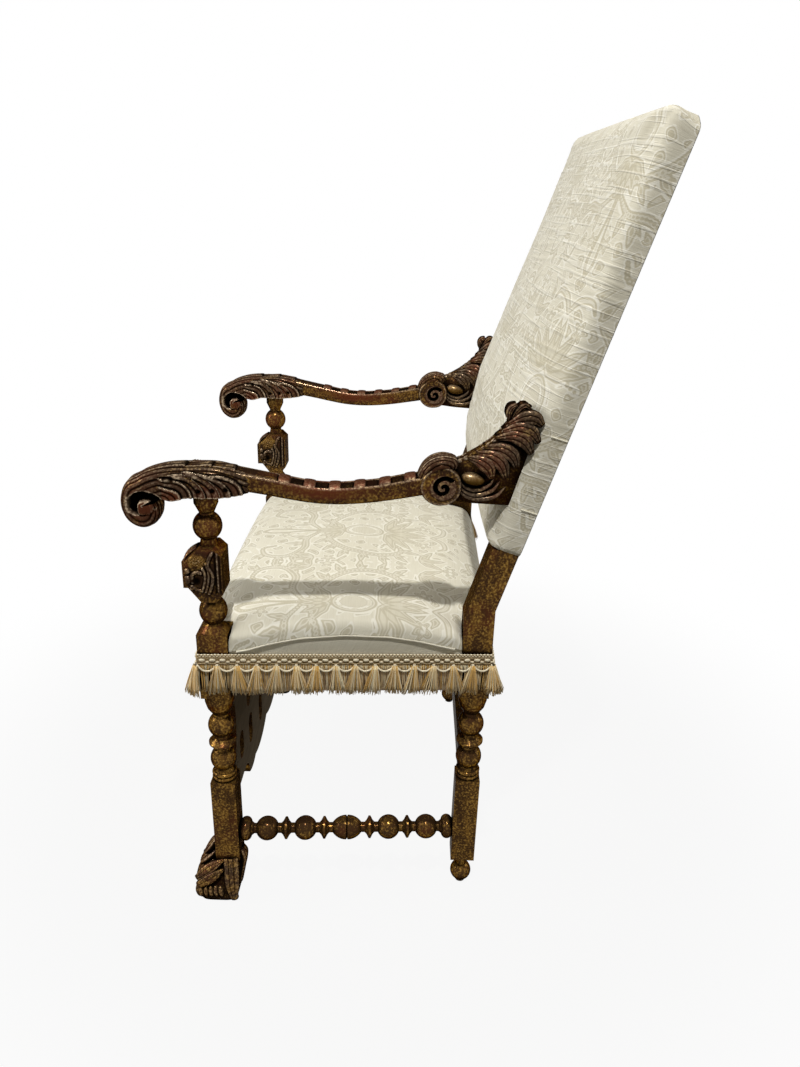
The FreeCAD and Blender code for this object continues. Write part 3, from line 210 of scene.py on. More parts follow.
# Node materials
class Nodes:
    """The node tree of a material or world with short calls for the nodes that are used here."""

    def __init__(self, owner, shader="Principled BSDF"):
        owner.use_nodes = True
        self.owner = owner
        self.tree = owner.node_tree
        self.shader = self.tree.nodes[shader]

    def put(self, socket, value):
        if isinstance(value, bpy.types.NodeSocket):
            self.tree.links.new(value, socket)
        elif hasattr(socket.default_value, "__len__") and len(socket.default_value) == 4:
            socket.default_value = (*value[:3], 1.0)
        else:
            socket.default_value = value

    def set(self, name, value):
        self.put(self.shader.inputs[name], value)

    def new(self, kind, output, inputs=None, **settings):
        """One output of a new node with these inputs and settings."""
        node = self.tree.nodes.new("ShaderNode" + kind)
        for name, value in settings.items():
            setattr(node, name, value)
        for name, value in (inputs or {}).items():
            self.put(node.inputs[name], value)
        return node.outputs[output]

    def math(self, operation, a, b=0.0):
        return self.new("Math", 0, {0: a, 1: b}, operation=operation)

    def times(self, a, b):
        return self.math("MULTIPLY", a, b)

    def without(self, a):
        return self.math("SUBTRACT", 1.0, a)

    def blend(self, *pairs):
        """Sum of values with their weights."""
        total = 0.0
        for value, weight in pairs:
            total = self.math("ADD", total, self.times(value, weight))
        return total

    def mix(self, factor, a, b):
        return self.new("Mix", 2, {0: factor, 6: a, 7: b}, data_type="RGBA")

    def band(self, value, low, high, start=0.0, end=1.0):
        """Smooth step of a value from one level to another."""
        inputs = {"Value": value, "From Min": low, "From Max": high, "To Min": start, "To Max": end}
        return self.new("MapRange", "Result", inputs, interpolation_type="SMOOTHSTEP")

    def attribute(self, name, output="Fac"):
        return self.new("Attribute", output, attribute_name=name)

    def coords(self, source, stretch=(1, 1, 1)):
        """Object coordinates, or a vector attribute, scaled along each axis."""
        if source == "object":
            vector = self.new("TexCoord", "Object")
        else:
            vector = self.attribute(source, "Vector")
        return self.new("Mapping", "Vector", {"Vector": vector, "Scale": stretch})

    def noise(self, scale, detail, roughness, source="object", stretch=(1, 1, 1), distortion=0.0):
        inputs = {"Vector": self.coords(source, stretch), "Scale": scale, "Detail": detail}
        return self.new("TexNoise", "Fac", {**inputs, "Roughness": roughness, "Distortion": distortion})

    def wave(self, scale, direction, distortion):
        inputs = {"Vector": self.coords("object"), "Scale": scale, "Distortion": distortion}
        return self.new("TexWave", "Fac", inputs, bands_direction=direction)

    def cavity(self, distance):
        """1 in the open and 0 deep in a groove."""
        return self.new("AmbientOcclusion", "AO", {"Distance": distance}, samples=6)

    def bump(self, height, strength, distance):
        inputs = {"Strength": strength, "Distance": distance, "Height": height}
        self.set("Normal", self.new("Bump", "Normal", inputs))

    def seen_directly(self):
        """1 for rays that show the surroundings: straight to the camera, in gloss or through glass."""
        camera, gloss, glass = (self.new("LightPath", f"Is {kind} Ray") for kind in
                                ("Camera", "Glossy", "Transmission"))
        return self.math("MAXIMUM", self.math("MAXIMUM", camera, gloss), glass)


# Colour of painted shade in grooves, hollows and under carved parts
PAINTED_SHADE = (0.004, 0.0025, 0.0015)
WALNUT = (0.056, 0.028, 0.012)
WALNUT_CARVED = (0.038, 0.019, 0.010)
# Colour of painted highlight and wear on raised carving
RUBBED_AND_HIGHLIT = (0.56, 0.43, 0.29)
OLD_GOLD = (0.190, 0.097, 0.020)
BRIGHT_GOLD = (0.285, 0.165, 0.040)
RED_GROUND = (0.125, 0.033, 0.014)
RAW_PALE = (0.30, 0.24, 0.17)
RAW_DARK = (0.14, 0.11, 0.075)
DULL_GLOSS = (0.12, 0.09, 0.06)


def gilt_wood(name, gold, stretch, groove, ground=WALNUT, raw_rear=False):
    """Dark walnut, patchy gold on red, painted shade in grooves, painted highlight and wear on raised parts.
    """
    n = Nodes(bpy.data.materials.new(name))
    patches = n.noise(24, 5, 0.6)
    grain = n.noise(75, 4, 0.6, stretch=stretch)
    speckle = n.noise(300, 3, 0.6)
    wear = n.blend((patches, 0.20), (grain, 0.33), (speckle, 0.47), (n.attribute("gold"), 0.3))
    gilding = n.band(wear, 0.52 - gold, 0.68 - gold)
    red = n.attribute("red")
    gilding = n.times(gilding, n.without(n.times(red, 0.85)))
    red = n.math("MAXIMUM", n.band(n.noise(15, 3, 0.5), 0.50, 0.68, 0.0, 0.55), red)
    colour = n.mix(red, ground, RED_GROUND)
    leaf = n.mix(n.band(speckle, 0.51, 0.63), OLD_GOLD, BRIGHT_GOLD)
    colour = n.mix(gilding, colour, leaf)
    # Painted highlight and wear where the carving stands out
    rubbed_and_highlit = n.times(n.attribute("worn"), n.band(speckle, 0.42, 0.60, 0.25, 1.0))
    colour = n.mix(rubbed_and_highlit, colour, RUBBED_AND_HIGHLIT)
    shine = n.band(gilding, 0.0, 1.0, 0.38, 0.60)
    if raw_rear:
        rearward = n.new("SeparateXYZ", "Y", {0: n.new("NewGeometry", "True Normal")})
        bare = n.band(rearward, 0.4, 0.7)
        colour = n.mix(bare, colour, n.mix(grain, RAW_PALE, RAW_DARK))
        shine = n.times(shine, n.without(bare))
    # Painted shade: near-black where ambient occlusion finds a groove and where the dark layer marks shade;
    # metal is held back there too
    open_air = n.band(n.cavity(groove), 0.32, 0.95)
    open_air = n.times(open_air, n.without(n.attribute("dark")))
    n.set("Base Color", n.mix(open_air, PAINTED_SHADE, colour))
    n.set("Metallic", n.times(shine, open_air))
    n.set("Roughness", n.band(wear, 0.35, 0.65, 0.16, 0.26))
    n.set("Specular IOR Level", 0.0)
    n.set("Specular Tint", DULL_GLOSS)
    n.bump(n.blend((grain, 1.0), (speckle, 0.4)), 0.16, 0.0009)
    return n.owner


def raw_wood(name, colour, dark):
    """Plain planed wood with long grain."""
    n = Nodes(bpy.data.materials.new(name))
    grain = n.noise(22, 6, 0.65, stretch=(1, 1, 9), distortion=0.6)
    fine = n.noise(260, 3, 0.6, stretch=(1, 1, 0.1))
    n.set("Base Color", n.mix(n.band(grain, 0.35, 0.70), colour, dark))
    n.set("Roughness", n.band(fine, 0.3, 0.7, 0.55, 0.75))
    n.bump(n.blend((fine, 1.0), (grain, 1.0)), 0.3, 0.0006)
    return n.owner


IVORY = (0.80, 0.757, 0.615)
IVORY_FIGURE = (0.585, 0.530, 0.380)
IVORY_LIGHT = (0.95, 0.92, 0.81)
THREAD_SHADE = (0.30, 0.18, 0.06)


def damask(name):
    """Ivory damask: dull leaves with pale outlines and veins on a satin ground, and slubs in the weft."""
    n = Nodes(bpy.data.materials.new(name))
    depth = n.attribute("figure")
    figure = n.times(n.band(depth, 0.49, 0.52), n.band(depth, 0.86, 0.95, 1.0, 0.3))
    outline = n.times(n.band(depth, 0.40, 0.46), n.band(depth, 0.52, 0.58, 1.0, 0.0))
    vein = n.times(n.band(depth, 0.66, 0.70), n.band(depth, 0.75, 0.80, 1.0, 0.0))
    pale = n.math("MAXIMUM", outline, n.times(vein, 0.7))
    slub = n.noise(1.0, 3, 0.6, source="cloth", stretch=(24, 620, 1))
    warp = n.noise(1.0, 2, 0.6, source="cloth", stretch=(1100, 40, 1))
    broad = n.noise(6, 3, 0.5, source="cloth")
    thick = n.noise(1.0, 2, 0.5, source="cloth", stretch=(7, 190, 1), distortion=0.4)
    heavy = n.times(n.band(thick, 0.55, 0.64), n.attribute("loose"))
    colour = n.mix(n.times(figure, 0.85), IVORY, IVORY_FIGURE)
    colour = n.mix(n.band(slub, 0.45, 0.70, 0.0, 0.30), colour, IVORY_FIGURE)
    colour = n.mix(n.times(pale, 0.7), colour, IVORY_LIGHT)
    colour = n.mix(n.times(heavy, 0.35), colour, IVORY_LIGHT)
    colour = n.mix(n.band(broad, 0.40, 0.65, 0.0, 0.16), colour, IVORY_FIGURE)
    n.set("Base Color", colour)
    n.set("Roughness", n.band(pale, 0.0, 1.0, 0.72, 0.56))
    n.set("Specular IOR Level", 0.25)
    n.set("Sheen Weight", 0.12)
    n.set("Sheen Roughness", 0.45)
    n.bump(n.blend((slub, 0.6), (warp, 0.25), (heavy, 0.8), (pale, 0.10)), 0.5, 0.0013)
    return n.owner


def thread(name, pale, deep, sheen):
    """Cords and cut threads; each strand has a tint of its own between two colours."""
    n = Nodes(bpy.data.materials.new(name))
    streak = n.noise(900, 2, 0.6, stretch=(1, 1, 0.12))
    tint = n.blend((n.attribute("tint"), 0.8), (streak, 0.3))
    colour = n.mix(n.band(tint, 0.15, 0.85), pale, deep)
    # Painted shade: threads darken where ambient occlusion finds the crevices between them
    shade = n.band(n.cavity(0.006), 0.1, 0.8, 0.35, 1.0)
    n.set("Base Color", n.mix(shade, THREAD_SHADE, colour))
    n.set("Roughness", n.band(streak, 0.3, 0.7, 0.45, 0.62))
    n.set("Specular IOR Level", 0.3)
    n.set("Sheen Weight", sheen)
    n.bump(streak, 0.4, 0.0005)
    return n.owner


def jute(name, colour, dark, threads):
    """Coarse plain weave of jute."""
    n = Nodes(bpy.data.materials.new(name))
    weave = n.times(n.wave(threads, "X", 1.5), n.wave(threads, "Y", 1.5))
    fuzz = n.noise(300, 4, 0.6)
    n.set("Base Color", n.mix(n.times(weave, fuzz), dark, colour))
    n.set("Roughness", n.band(fuzz, 0.3, 0.7, 0.8, 0.95))
    n.bump(n.blend((weave, 1.0), (fuzz, 0.4)), 0.6, 0.001)
    return n.owner


STEEL_GREY = (0.42, 0.41, 0.40)
STEEL_RUST = (0.22, 0.17, 0.13)


def dull_steel(name):
    n = Nodes(bpy.data.materials.new(name))
    spots = n.noise(180, 4, 0.6)
    n.set("Base Color", n.mix(n.band(spots, 0.4, 0.7), STEEL_GREY, STEEL_RUST))
    n.set("Metallic", 0.9)
    n.set("Roughness", n.band(spots, 0.3, 0.7, 0.35, 0.6))
    return n.owner


CARVED = gilt_wood("carved_walnut", 0.02, (1, 0.25, 1), 0.012, WALNUT_CARVED)
TURNED = gilt_wood("turned_walnut", 0.08, (1, 1, 0.25), 0.022)
CROSSWISE = gilt_wood("turned_stretchers", 0.05, (1, 0.25, 1), 0.022)
PANEL = gilt_wood("pierced_panel", 0.08, (0.25, 1, 1), 0.012, raw_rear=True)
BEECH = raw_wood("beech", (0.50, 0.36, 0.22), (0.33, 0.22, 0.12))
DAMASK = damask("ivory_damask")
BRAID = thread("braid_thread", (0.93, 0.83, 0.60), (0.36, 0.25, 0.11), 0.15)
FRINGE = thread("fringe_thread", (1.0, 0.89, 0.60), (0.72, 0.42, 0.09), 0.2)
WEBBING = jute("jute_webbing", (0.42, 0.33, 0.20), (0.16, 0.11, 0.06), 160)
HESSIAN = jute("jute_hessian", (0.50, 0.40, 0.25), (0.20, 0.14, 0.08), 260)
STEEL = dull_steel("dull_steel")


def dress_solids():
    """Finishes of the pieces that keep the shape of their solids."""
    finishes = {"gilt_walnut": TURNED, "beech": BEECH, "steel": STEEL}
    slots = {row["node"]: row["material_slot"] for row in frame["record"]["subparts"]}
    for name, piece in frame["nodes"].items():
        finish = finishes.get(slots[name])
        if name == "front_stretcher":
            finish = PANEL
        elif "stretcher" in name:
            finish = CROSSWISE
        if finish is not None:
            piece.data.materials.clear()
            piece.data.materials.append(finish)


# Places of the carved pieces: from the post's axis, and as (lateral, along, height) on the arm's own plane
def post_to_chair(points):
    return points + np.array([FRONT_HALF, 0, 0])


def arm_to_chair(points):
    lateral, along, height = points.T
    cos, sin = math.cos(ARM_TAPER), math.sin(ARM_TAPER)
    return np.stack([FRONT_HALF + lateral * cos - along * sin, lateral * sin + along * cos, height], axis=1)


def swept_leaf(controls, rows, carve):
    """A carved body below a top line.

    Each control is (along, height, half width, along and height of the lower edge). The section is rounded
    at the top and square below. carve gives the lift of the skin, its red paint and its painted shade, from
    the place on the arm's side, the distance from the top line and the height over the lower edge, both along
    the skin.
    """
    path = smooth_path(controls, rows)
    top, half, low = path[:, None, :2], path[:, 2:3], path[:, None, 3:]
    depth = np.linalg.norm(low - top, axis=2)
    inward = unit(low - top)
    bend = np.minimum(13.0, 0.45 * depth)
    turn = np.linspace(0, math.pi / 2, 30)
    side = np.linspace(0, 1, 42)[1:]
    flat = np.ones_like(side)
    lateral = np.hstack([half * np.sin(turn) ** 0.65, half * flat])
    sunk = np.hstack([bend * (1 - np.cos(turn) ** 0.65), bend + (depth - bend) * side])
    steps = np.hypot(np.diff(lateral, axis=1), np.diff(sunk, axis=1))
    around = np.hstack([np.zeros((rows, 1)), np.cumsum(steps, axis=1)])
    spot = top + inward * sunk[..., None]
    lift, red, dark = carve(spot[..., 0], spot[..., 1], around, around[:, -1:] - around)
    lift = lift * np.append(np.ones(lateral.shape[1] - 1), 0)
    lateral = lateral + lift * np.concatenate([np.sin(turn), flat])
    sunk = sunk - lift * np.concatenate([np.cos(turn), 0 * flat])
    spot = top + inward * sunk[..., None]
    one_side = np.dstack([lateral, spot])
    middle = np.dstack([np.zeros((rows, 1)), spot[:, -1:]])
    other = one_side[:, :0:-1] * np.array([-1, 1, 1])
    points = np.hstack([one_side, middle, other])
    paint = carving_paint(lift)
    # Painted shade in grooves and wherever carve marks it, and painted highlight with wear on what stands out
    layers = {"red": red, "dark": np.maximum(paint["dark"], dark), "worn": paint["worn"] * (1 - dark)}
    ringed = {name: np.hstack([part, part[:, -1:], part[:, :0:-1]]) for name, part in layers.items()}
    return points, tube_faces(rows, points.shape[1]), ringed


# Front of the arm, from the rear end of its leaf over the top and round the scroll to the scroll's mouth
EYE = (-77.5, 674.0)
SCROLL_RIM = (
    (-97, 704, 24.5), (-103.5, 696, 24.5), (-107.5, 686, 24), (-109, 674.5, 24), (-107.5, 663, 24),
    (-102.5, 651.5, 24), (-94, 643.5, 24), (-83.5, 639.5, 24), (-73, 641, 24), (-64.5, 647, 24),
    (-60, 656, 24), (-59.5, 667, 24), (-62, 676, 24),
)
FRONT_LEAF = (
    (60, 716, 17, 60, 691), (40, 721, 21, 41, 687.5), (14, 725.5, 24, 14, 685), (-20, 725, 25, -18, 685.5),
    (-45, 723.5, 25, -38, 680.5), (-62, 720, 25, -50, 682), (-75, 715.5, 25, -60, 682),
    (-85, 710, 25, -70, 678.5), *((*spot, *EYE) for spot in SCROLL_RIM),
)
# Spiral hollow of the scroll: (turn in degrees, inner radius, outer radius); 0 is rearwards and 90 is up
HOLLOW = ((-20, 15, 34), (10, 15, 27), (60, 8, 19.6), (90, 6.7, 18.8), (180, 7.1, 19.4), (215, 8.6, 18.4),
          (235, 11.8, 15.7), (246, 13.8, 13.8))
# Lobes of the leaf from the front: where each turns down, and its height there
LOBES = ((-52, 20), (-53, 32), (-41, 36), (-22, 36), (-6, 34), (12, 32))
LOBE_STRETCH = 1.3
# Eyes where lobes part, sunk and given painted shade, and the ends of the leaf's tips along the top
EYES = ((-37, 711), (-3, 695), (15, 696), (32, 697))
TIPS = (-22.0, 13.0, 43.0)
RIB_PITCH = 8.2
FOLD_PITCH = 7.0
EYE_DEPTH = 4.0
HOLLOW_DEPTH = 15.0
TONGUE_HEIGHT = 4.0


def spiral_hollow(along, height, centre, spiral):
    """1 inside a spiral hollow, and the height of the round tongue that it winds about."""
    away, up = along - centre[0], height - centre[1]
    r = np.hypot(away, up)
    turn = (np.degrees(np.arctan2(up, away)) + 60) % 360 - 60
    stops, inner, outer = np.array(spiral, float).T
    near, far = np.interp(turn, stops, inner), np.interp(turn, stops, outer)
    inside = smoothstep(r, near - 0.8, near + 0.8) * (1 - smoothstep(r, far - 0.8, far + 0.8))
    inside = inside * (turn > stops[0]) * (turn < stops[-1])
    return inside, np.sqrt(np.clip(1 - (r / near) ** 2, 0, 1))


def carve_front_leaf(along, height, around, over):
    """Ribs along the top and round the scroll, and overlapping lobes that turn down to the lower edge."""
    lift = 1.8 * (ridge(around / RIB_PITCH + 0.3) - 0.55)
    red = 0.3 * bump_at(along, -80, 24)
    for rank, (pivot, reach) in reversed(list(enumerate(LOBES))):
        r = np.where(along > pivot, np.hypot((along - pivot) / LOBE_STRETCH, over), over)
        share = r / reach
        fold = 0.2 + 4.8 * share ** 2 + 1.9 * (ridge(r / FOLD_PITCH, 0.7) - 0.6)
        weight = (share < 1) * smoothstep(along, pivot - 6, pivot + 8)
        lift = lift + (fold - lift) * weight
        red = np.where(weight > 0.5, 0.75 if rank == 0 else 0.1, red)
    eyes = np.zeros_like(lift)
    for place in EYES:
        eyes = np.maximum(eyes, np.exp(-(np.hypot(along - place[0], height - place[1]) / 3.4) ** 2))
    eyes = eyes * smoothstep(around, 18, 24)
    lift = lift - EYE_DEPTH * eyes
    # Tips of the leaf on top, each standing over the next, with painted shade under each step
    crest = 2.8 * smoothstep(along, -84, TIPS[0])
    on_top = np.exp(-(around / 10.0) ** 4)
    under = np.zeros_like(lift)
    for before, tip in zip(TIPS, TIPS[1:] + (95.0,)):
        crest = np.where(along > before, -1.2 + 3.4 * smoothstep(along, before + 3, tip), crest)
        under = np.maximum(under, 0.8 * bump_at(along, before, 3) * on_top)
    lift = lift + crest * on_top
    hollow, tongue = spiral_hollow(along, height, EYE, HOLLOW)
    on_side = smoothstep(around, 20, 27)
    front = 1 - smoothstep(along, -52, -44)
    hollow = hollow * on_side * front
    tongue = tongue * on_side * front
    lift = lift * (1 - hollow) * (1 - tongue) + TONGUE_HEIGHT * tongue - HOLLOW_DEPTH * hollow
    # Painted shade in the spiral hollow, in the eyes and under the tips
    return lift, np.maximum(red, 0.6 * (tongue > 0.1)), np.maximum(hollow, np.maximum(eyes, under))


# Middle of the arm: (along, height of the top, height of the underside)
ARM_MIDDLE = (
    (44, 719, 693), (80, 712, 687.5), (112, 706, 681.7), (143, 700.5, 677), (174, 699, 675.5),
    (205, 701.5, 677), (236, 705.5, 680.7), (267, 712, 686), (300, 718, 692),
)
NOTCH_START = 98.0
NOTCH_PITCH = 33.4
# How far the tongues on top rise, and how far the notches and the grooves beside them sink
TONGUE_RISE = 2.2
NOTCH_SINK = 1.2
GROOVE_SINK = 2.2
# Half of the rail's section: (lateral, offset from the top, 1 where the tongues lift it)
RAIL_TOP = ((0, 0.6, 1), (7, 0.5, 1), (11, 0, 1), (12.2, -1.6, 0), (13.6, -1.9, 0), (14.8, -0.6, 0),
            (16.2, -1.2, 0), (16.8, -4, 0))
# The rest of it: (lateral, share of the height)
RAIL_SIDE = ((16.9, 0.60), (16.3, 0.52), (16.7, 0.45), (16.4, 0.16), (14.5, 0.03), (9, 0))


def make_rail(shape):
    """Sagging rail of the arm: a line along its sides, a thin ridge at each top edge and tongues on top."""
    rows = 420
    along, top, low = smooth_path(ARM_MIDDLE, rows).T
    phase = ((along - NOTCH_START) / NOTCH_PITCH) % 1.0
    chained = smoothstep(along, NOTCH_START - 2, NOTCH_START)
    raised = (phase < 0.5) * chained
    tongue = TONGUE_RISE * np.sin(math.pi * np.clip(phase / 0.5, 0, 1)) ** 0.35
    swell = np.where(phase < 0.5, tongue, -NOTCH_SINK) * chained
    groove = np.minimum(np.abs(phase - 0.5), np.minimum(phase, 1 - phase)) < 0.03
    swell = np.where(groove & (chained > 0.5), -GROOVE_SINK, swell)
    side = [(offset, top + rise + swell * moves, moves) for offset, rise, moves in RAIL_TOP]
    side += [(offset, low + (top - low) * share, 0) for offset, share in RAIL_SIDE]
    ring = side + [(-offset, height, moves) for offset, height, moves in side[:0:-1]]
    points = np.stack([np.stack([np.full(rows, w), along, z], axis=1) for w, z, _ in ring], axis=1)
    tops = np.array([moves for _, _, moves in ring], float)
    high = np.clip((points[..., 2] - low[:, None]) / (top - low)[:, None], 0, 1)
    sides_red = bump_at(along, 158, 68)[:, None] * smoothstep(high, 0.15, 0.6)
    red = np.maximum(tops * raised[:, None] * 0.8, (1 - tops) * 0.95 * sides_red)
    # Painted shade in the notches and in the grooves beside the tongues
    dark = tops * ((1 - raised) * 0.8 + groove * 0.4)[:, None] * chained[:, None]
    # Painted highlight along the top edge of each side, and painted highlight with wear on the tongues
    top_edge = (np.abs(high - 0.97) < 0.05) * (1 - tops)
    worn = np.maximum(tops * (raised * chained)[:, None] * 0.12, 0.4 * top_edge)
    gold = np.tile((1 - tops) * 0.2, rows)
    shape.add(points, tube_faces(rows, len(ring)), red=red, dark=dark, worn=worn, gold=gold)


VOLUTE = (317.0, 702.5)
VOLUTE_HALF = 19.0
# Reach of the volute's rim at each quarter, from rearwards over the top
VOLUTE_RIM = (24.0, 30.0, 31.0, 24.5)
# Radius of the spiral cut in its face, how far the cut moves in with each turn, and its depth
VOLUTE_HOLLOW = 18.0
VOLUTE_TURN = 11.0
VOLUTE_DEPTH = 7.0
# Half width of the cut at its floor and at its mouth
VOLUTE_CUT = (2.2, 3.4)


def make_volute(shape):
    """Rolled end at the rear of the arm: a broad flat ring round a deep spiral cut on each face."""
    cols = 120
    angle = circle(cols)
    quarter = np.append(VOLUTE_RIM, VOLUTE_RIM[0])
    rim = np.interp(angle, np.linspace(0, 2 * math.pi, 5), quarter)
    share = np.linspace(0.01, 1, 56)[:, None]
    r = share * rim
    # The spiral cut's radius on its first and second turn
    turns = (angle / (2 * math.pi) - 0.1) % 1.0 + np.arange(2)[:, None, None]
    cut = VOLUTE_HOLLOW - 3.0 - VOLUTE_TURN * turns
    hollow = (1 - smoothstep(np.abs(r - cut), *VOLUTE_CUT)).max(axis=0)
    tongue = (1 - smoothstep(r, VOLUTE_HOLLOW - 2, VOLUTE_HOLLOW)) * (1 - hollow)
    lip = bump_at(r, rim - 2.2, 1.3)
    face = VOLUTE_HALF + lip + tongue - VOLUTE_DEPTH * hollow - 2.0 * smoothstep(share, 0.97, 1.0)
    edge = VOLUTE_HALF - np.array([[4.0], [9.0], [VOLUTE_HALF]]) + 0 * angle
    lateral = np.vstack([face, edge])
    reach = np.vstack([r, rim + 0 * edge])
    lateral = np.vstack([lateral, -lateral[-2::-1]])
    reach = np.vstack([reach, reach[-2::-1]])
    points = np.stack([lateral, VOLUTE[0] + reach * np.cos(angle), VOLUTE[1] + reach * np.sin(angle)], axis=2)

    def both(layer):
        layer = np.vstack([layer, 0 * edge])
        return np.vstack([layer, layer[-2::-1]])

    ring = smoothstep(r, VOLUTE_HOLLOW, VOLUTE_HOLLOW + 1)
    # Painted shade in the spiral cut, and painted highlight with wear on the lip and the tongue
    shape.add(points, tube_faces(len(reach), cols), dark=both(hollow), gold=both(ring * 0.14),
              red=both(0.3 * tongue), worn=both(0.4 * lip + 0.2 * tongue))


# Leaf that folds over the volute
HUMP_LEAF = (
    (334, 727, 12, 327, 722), (334.5, 734, 16, 325, 727), (329, 740.5, 18.5, 321, 728),
    (316, 743, 19.5, 315, 728), (302, 739, 19.5, 307, 727), (291, 730, 18.5, 299, 720),
    (285, 719, 17, 295, 712), (283, 708, 16, 292, 704),
)


def carve_hump(along, height, around, over):
    lift = 2.2 * (ridge(around / 6.6 + 0.3) - 0.5) + 1.6 * bump_at(along, 333, 5)
    return lift, 0.15 + 0 * lift, 0 * lift


# Bracket against the back: its board, its midrib, and the lobes of its fan as (root, two bends, tip)
BRACKET_BOARD = (
    (318, 683), (356, 679), (409, 676.5), (428, 746), (437, 782), (432, 800), (424, 814), (414, 816),
    (407, 808), (404, 796), (393, 780), (378, 765), (362, 753), (342, 741), (326, 733),
)
BRACKET_HALF = 9.0
MIDRIB = ((334, 735), (346, 741), (358, 747), (375, 760), (391, 774), (403, 791), (408, 804))
FAN_LOBES = (
    ((348, 742), (363, 740), (375, 732), (381, 716)),
    ((358, 748), (378, 747), (392, 737), (400, 717)),
    ((369, 756), (390, 757), (405, 749), (413, 732)),
    ((384, 769), (404, 774), (420, 768), (431, 751)),
    ((392, 778), (410, 785), (427, 781), (439, 766)),
    ((399, 788), (415, 798), (430, 799), (442, 789)),
    ((402, 792), (408, 803), (418, 812), (428, 804)),
    ((400, 793), (398, 802), (401, 810), (408, 814)),
)
TIP_LOBES = (6, 7)
# How far the lobes at the tip and the others stand out at each point, and their half widths
TIP_LOBE = ((-4, -2, -2, -4), (2, 4.2, 4.6, 2.6))
BROAD_LOBE = ((-2, 6, 8.5, 4), (3.5, 9.2, 10.0, 4.6))
EGG = (356.0, 714.5)
CRESCENTS = (
    ((339, 712), (346, 703), (362, 699), (378, 706), (384, 716)),
    ((337, 706), (347, 696), (364, 692), (383, 699), (392, 712)),
    ((336, 699), (350, 689), (368, 686), (388, 691), (400, 704)),
)


def ribbed_leaf(spine, normals, widths, ribs, swell, thick, cols=31):
    """A carved leaf along a spine of points, rounded across, with ribs that run along it to its tip."""
    rows = 56
    guide = np.column_stack([spine, np.broadcast_to(normals, np.shape(spine)), widths])
    dense = smooth_path(guide, rows, axes=3)
    centre, normal, width = dense[:, None, :3], unit(dense[:, None, 3:6]), np.maximum(dense[:, 6:], 0.3)
    across = np.cross(unit(np.gradient(centre, axis=0)), normal)
    v = np.linspace(-1, 1, cols)
    lift = swell * np.sqrt(1 - 0.95 * v ** 2) + 0.34 * swell * (ridge((v + 1) / 2 * ribs, 0.7) - 0.6)
    lift = np.minimum(width / width.max() * 1.6, 1) * lift
    upper = centre + across * (width * v)[..., None] + normal * lift[..., None]
    lower = centre + across * (width * v * 0.92)[..., None] - normal * thick
    points = np.concatenate([upper, lower[:, ::-1]], axis=1)
    # Painted shade in the grooves and over the whole underside, painted highlight with wear on the ribs
    paint = carving_paint(lift, reach=2, scale=0.5)
    dark = np.hstack([paint["dark"], np.full(lift.shape, 0.8)])
    worn = np.hstack([paint["worn"], np.zeros(lift.shape)])
    return points, tube_faces(rows, 2 * cols), {"dark": dark, "worn": worn}


def round_strip(path, radius, rows, cols=12):
    """A round strip along points; its radius varies along it."""
    line = smooth_path(path, rows, axes=3)
    run = unit(np.gradient(line, axis=0))
    first = np.cross(run, (0, 0, 1.0))
    weak = np.linalg.norm(first, axis=1) < 0.3
    first[weak] = np.cross(run[weak], (1.0, 0, 0))
    first = unit(first)
    second = np.cross(run, first)
    angle = circle(cols)[:, None]
    around = np.cos(angle) * first[:, None] + np.sin(angle) * second[:, None]
    reach = np.broadcast_to(radius, rows)[:, None, None]
    return line[:, None] + reach * around, tube_faces(rows, cols)


def egg_grid(radii, rows, cols):
    """Offsets of an egg's points along its three axes, the first of them from pole to pole."""
    polar = (math.pi * (np.arange(rows) + 0.5) / rows)[:, None]
    waist, angle = np.sin(polar), circle(cols)
    return (radii[0] * np.cos(polar) * np.ones(cols), radii[1] * waist * np.cos(angle),
            radii[2] * waist * np.sin(angle))


def lump(centre, radii, tilt=0.0):
    """An egg-shaped lump; its long radius lies along Y, tilted towards Z."""
    rows, cols = 20, 28
    long_way, short_way, lateral = egg_grid(radii, rows, cols)
    cos, sin = math.cos(tilt), math.sin(tilt)
    offsets = (lateral, long_way * cos - short_way * sin, long_way * sin + short_way * cos)
    return np.array(centre, float) + np.stack(offsets, axis=2), tube_faces(rows, cols)


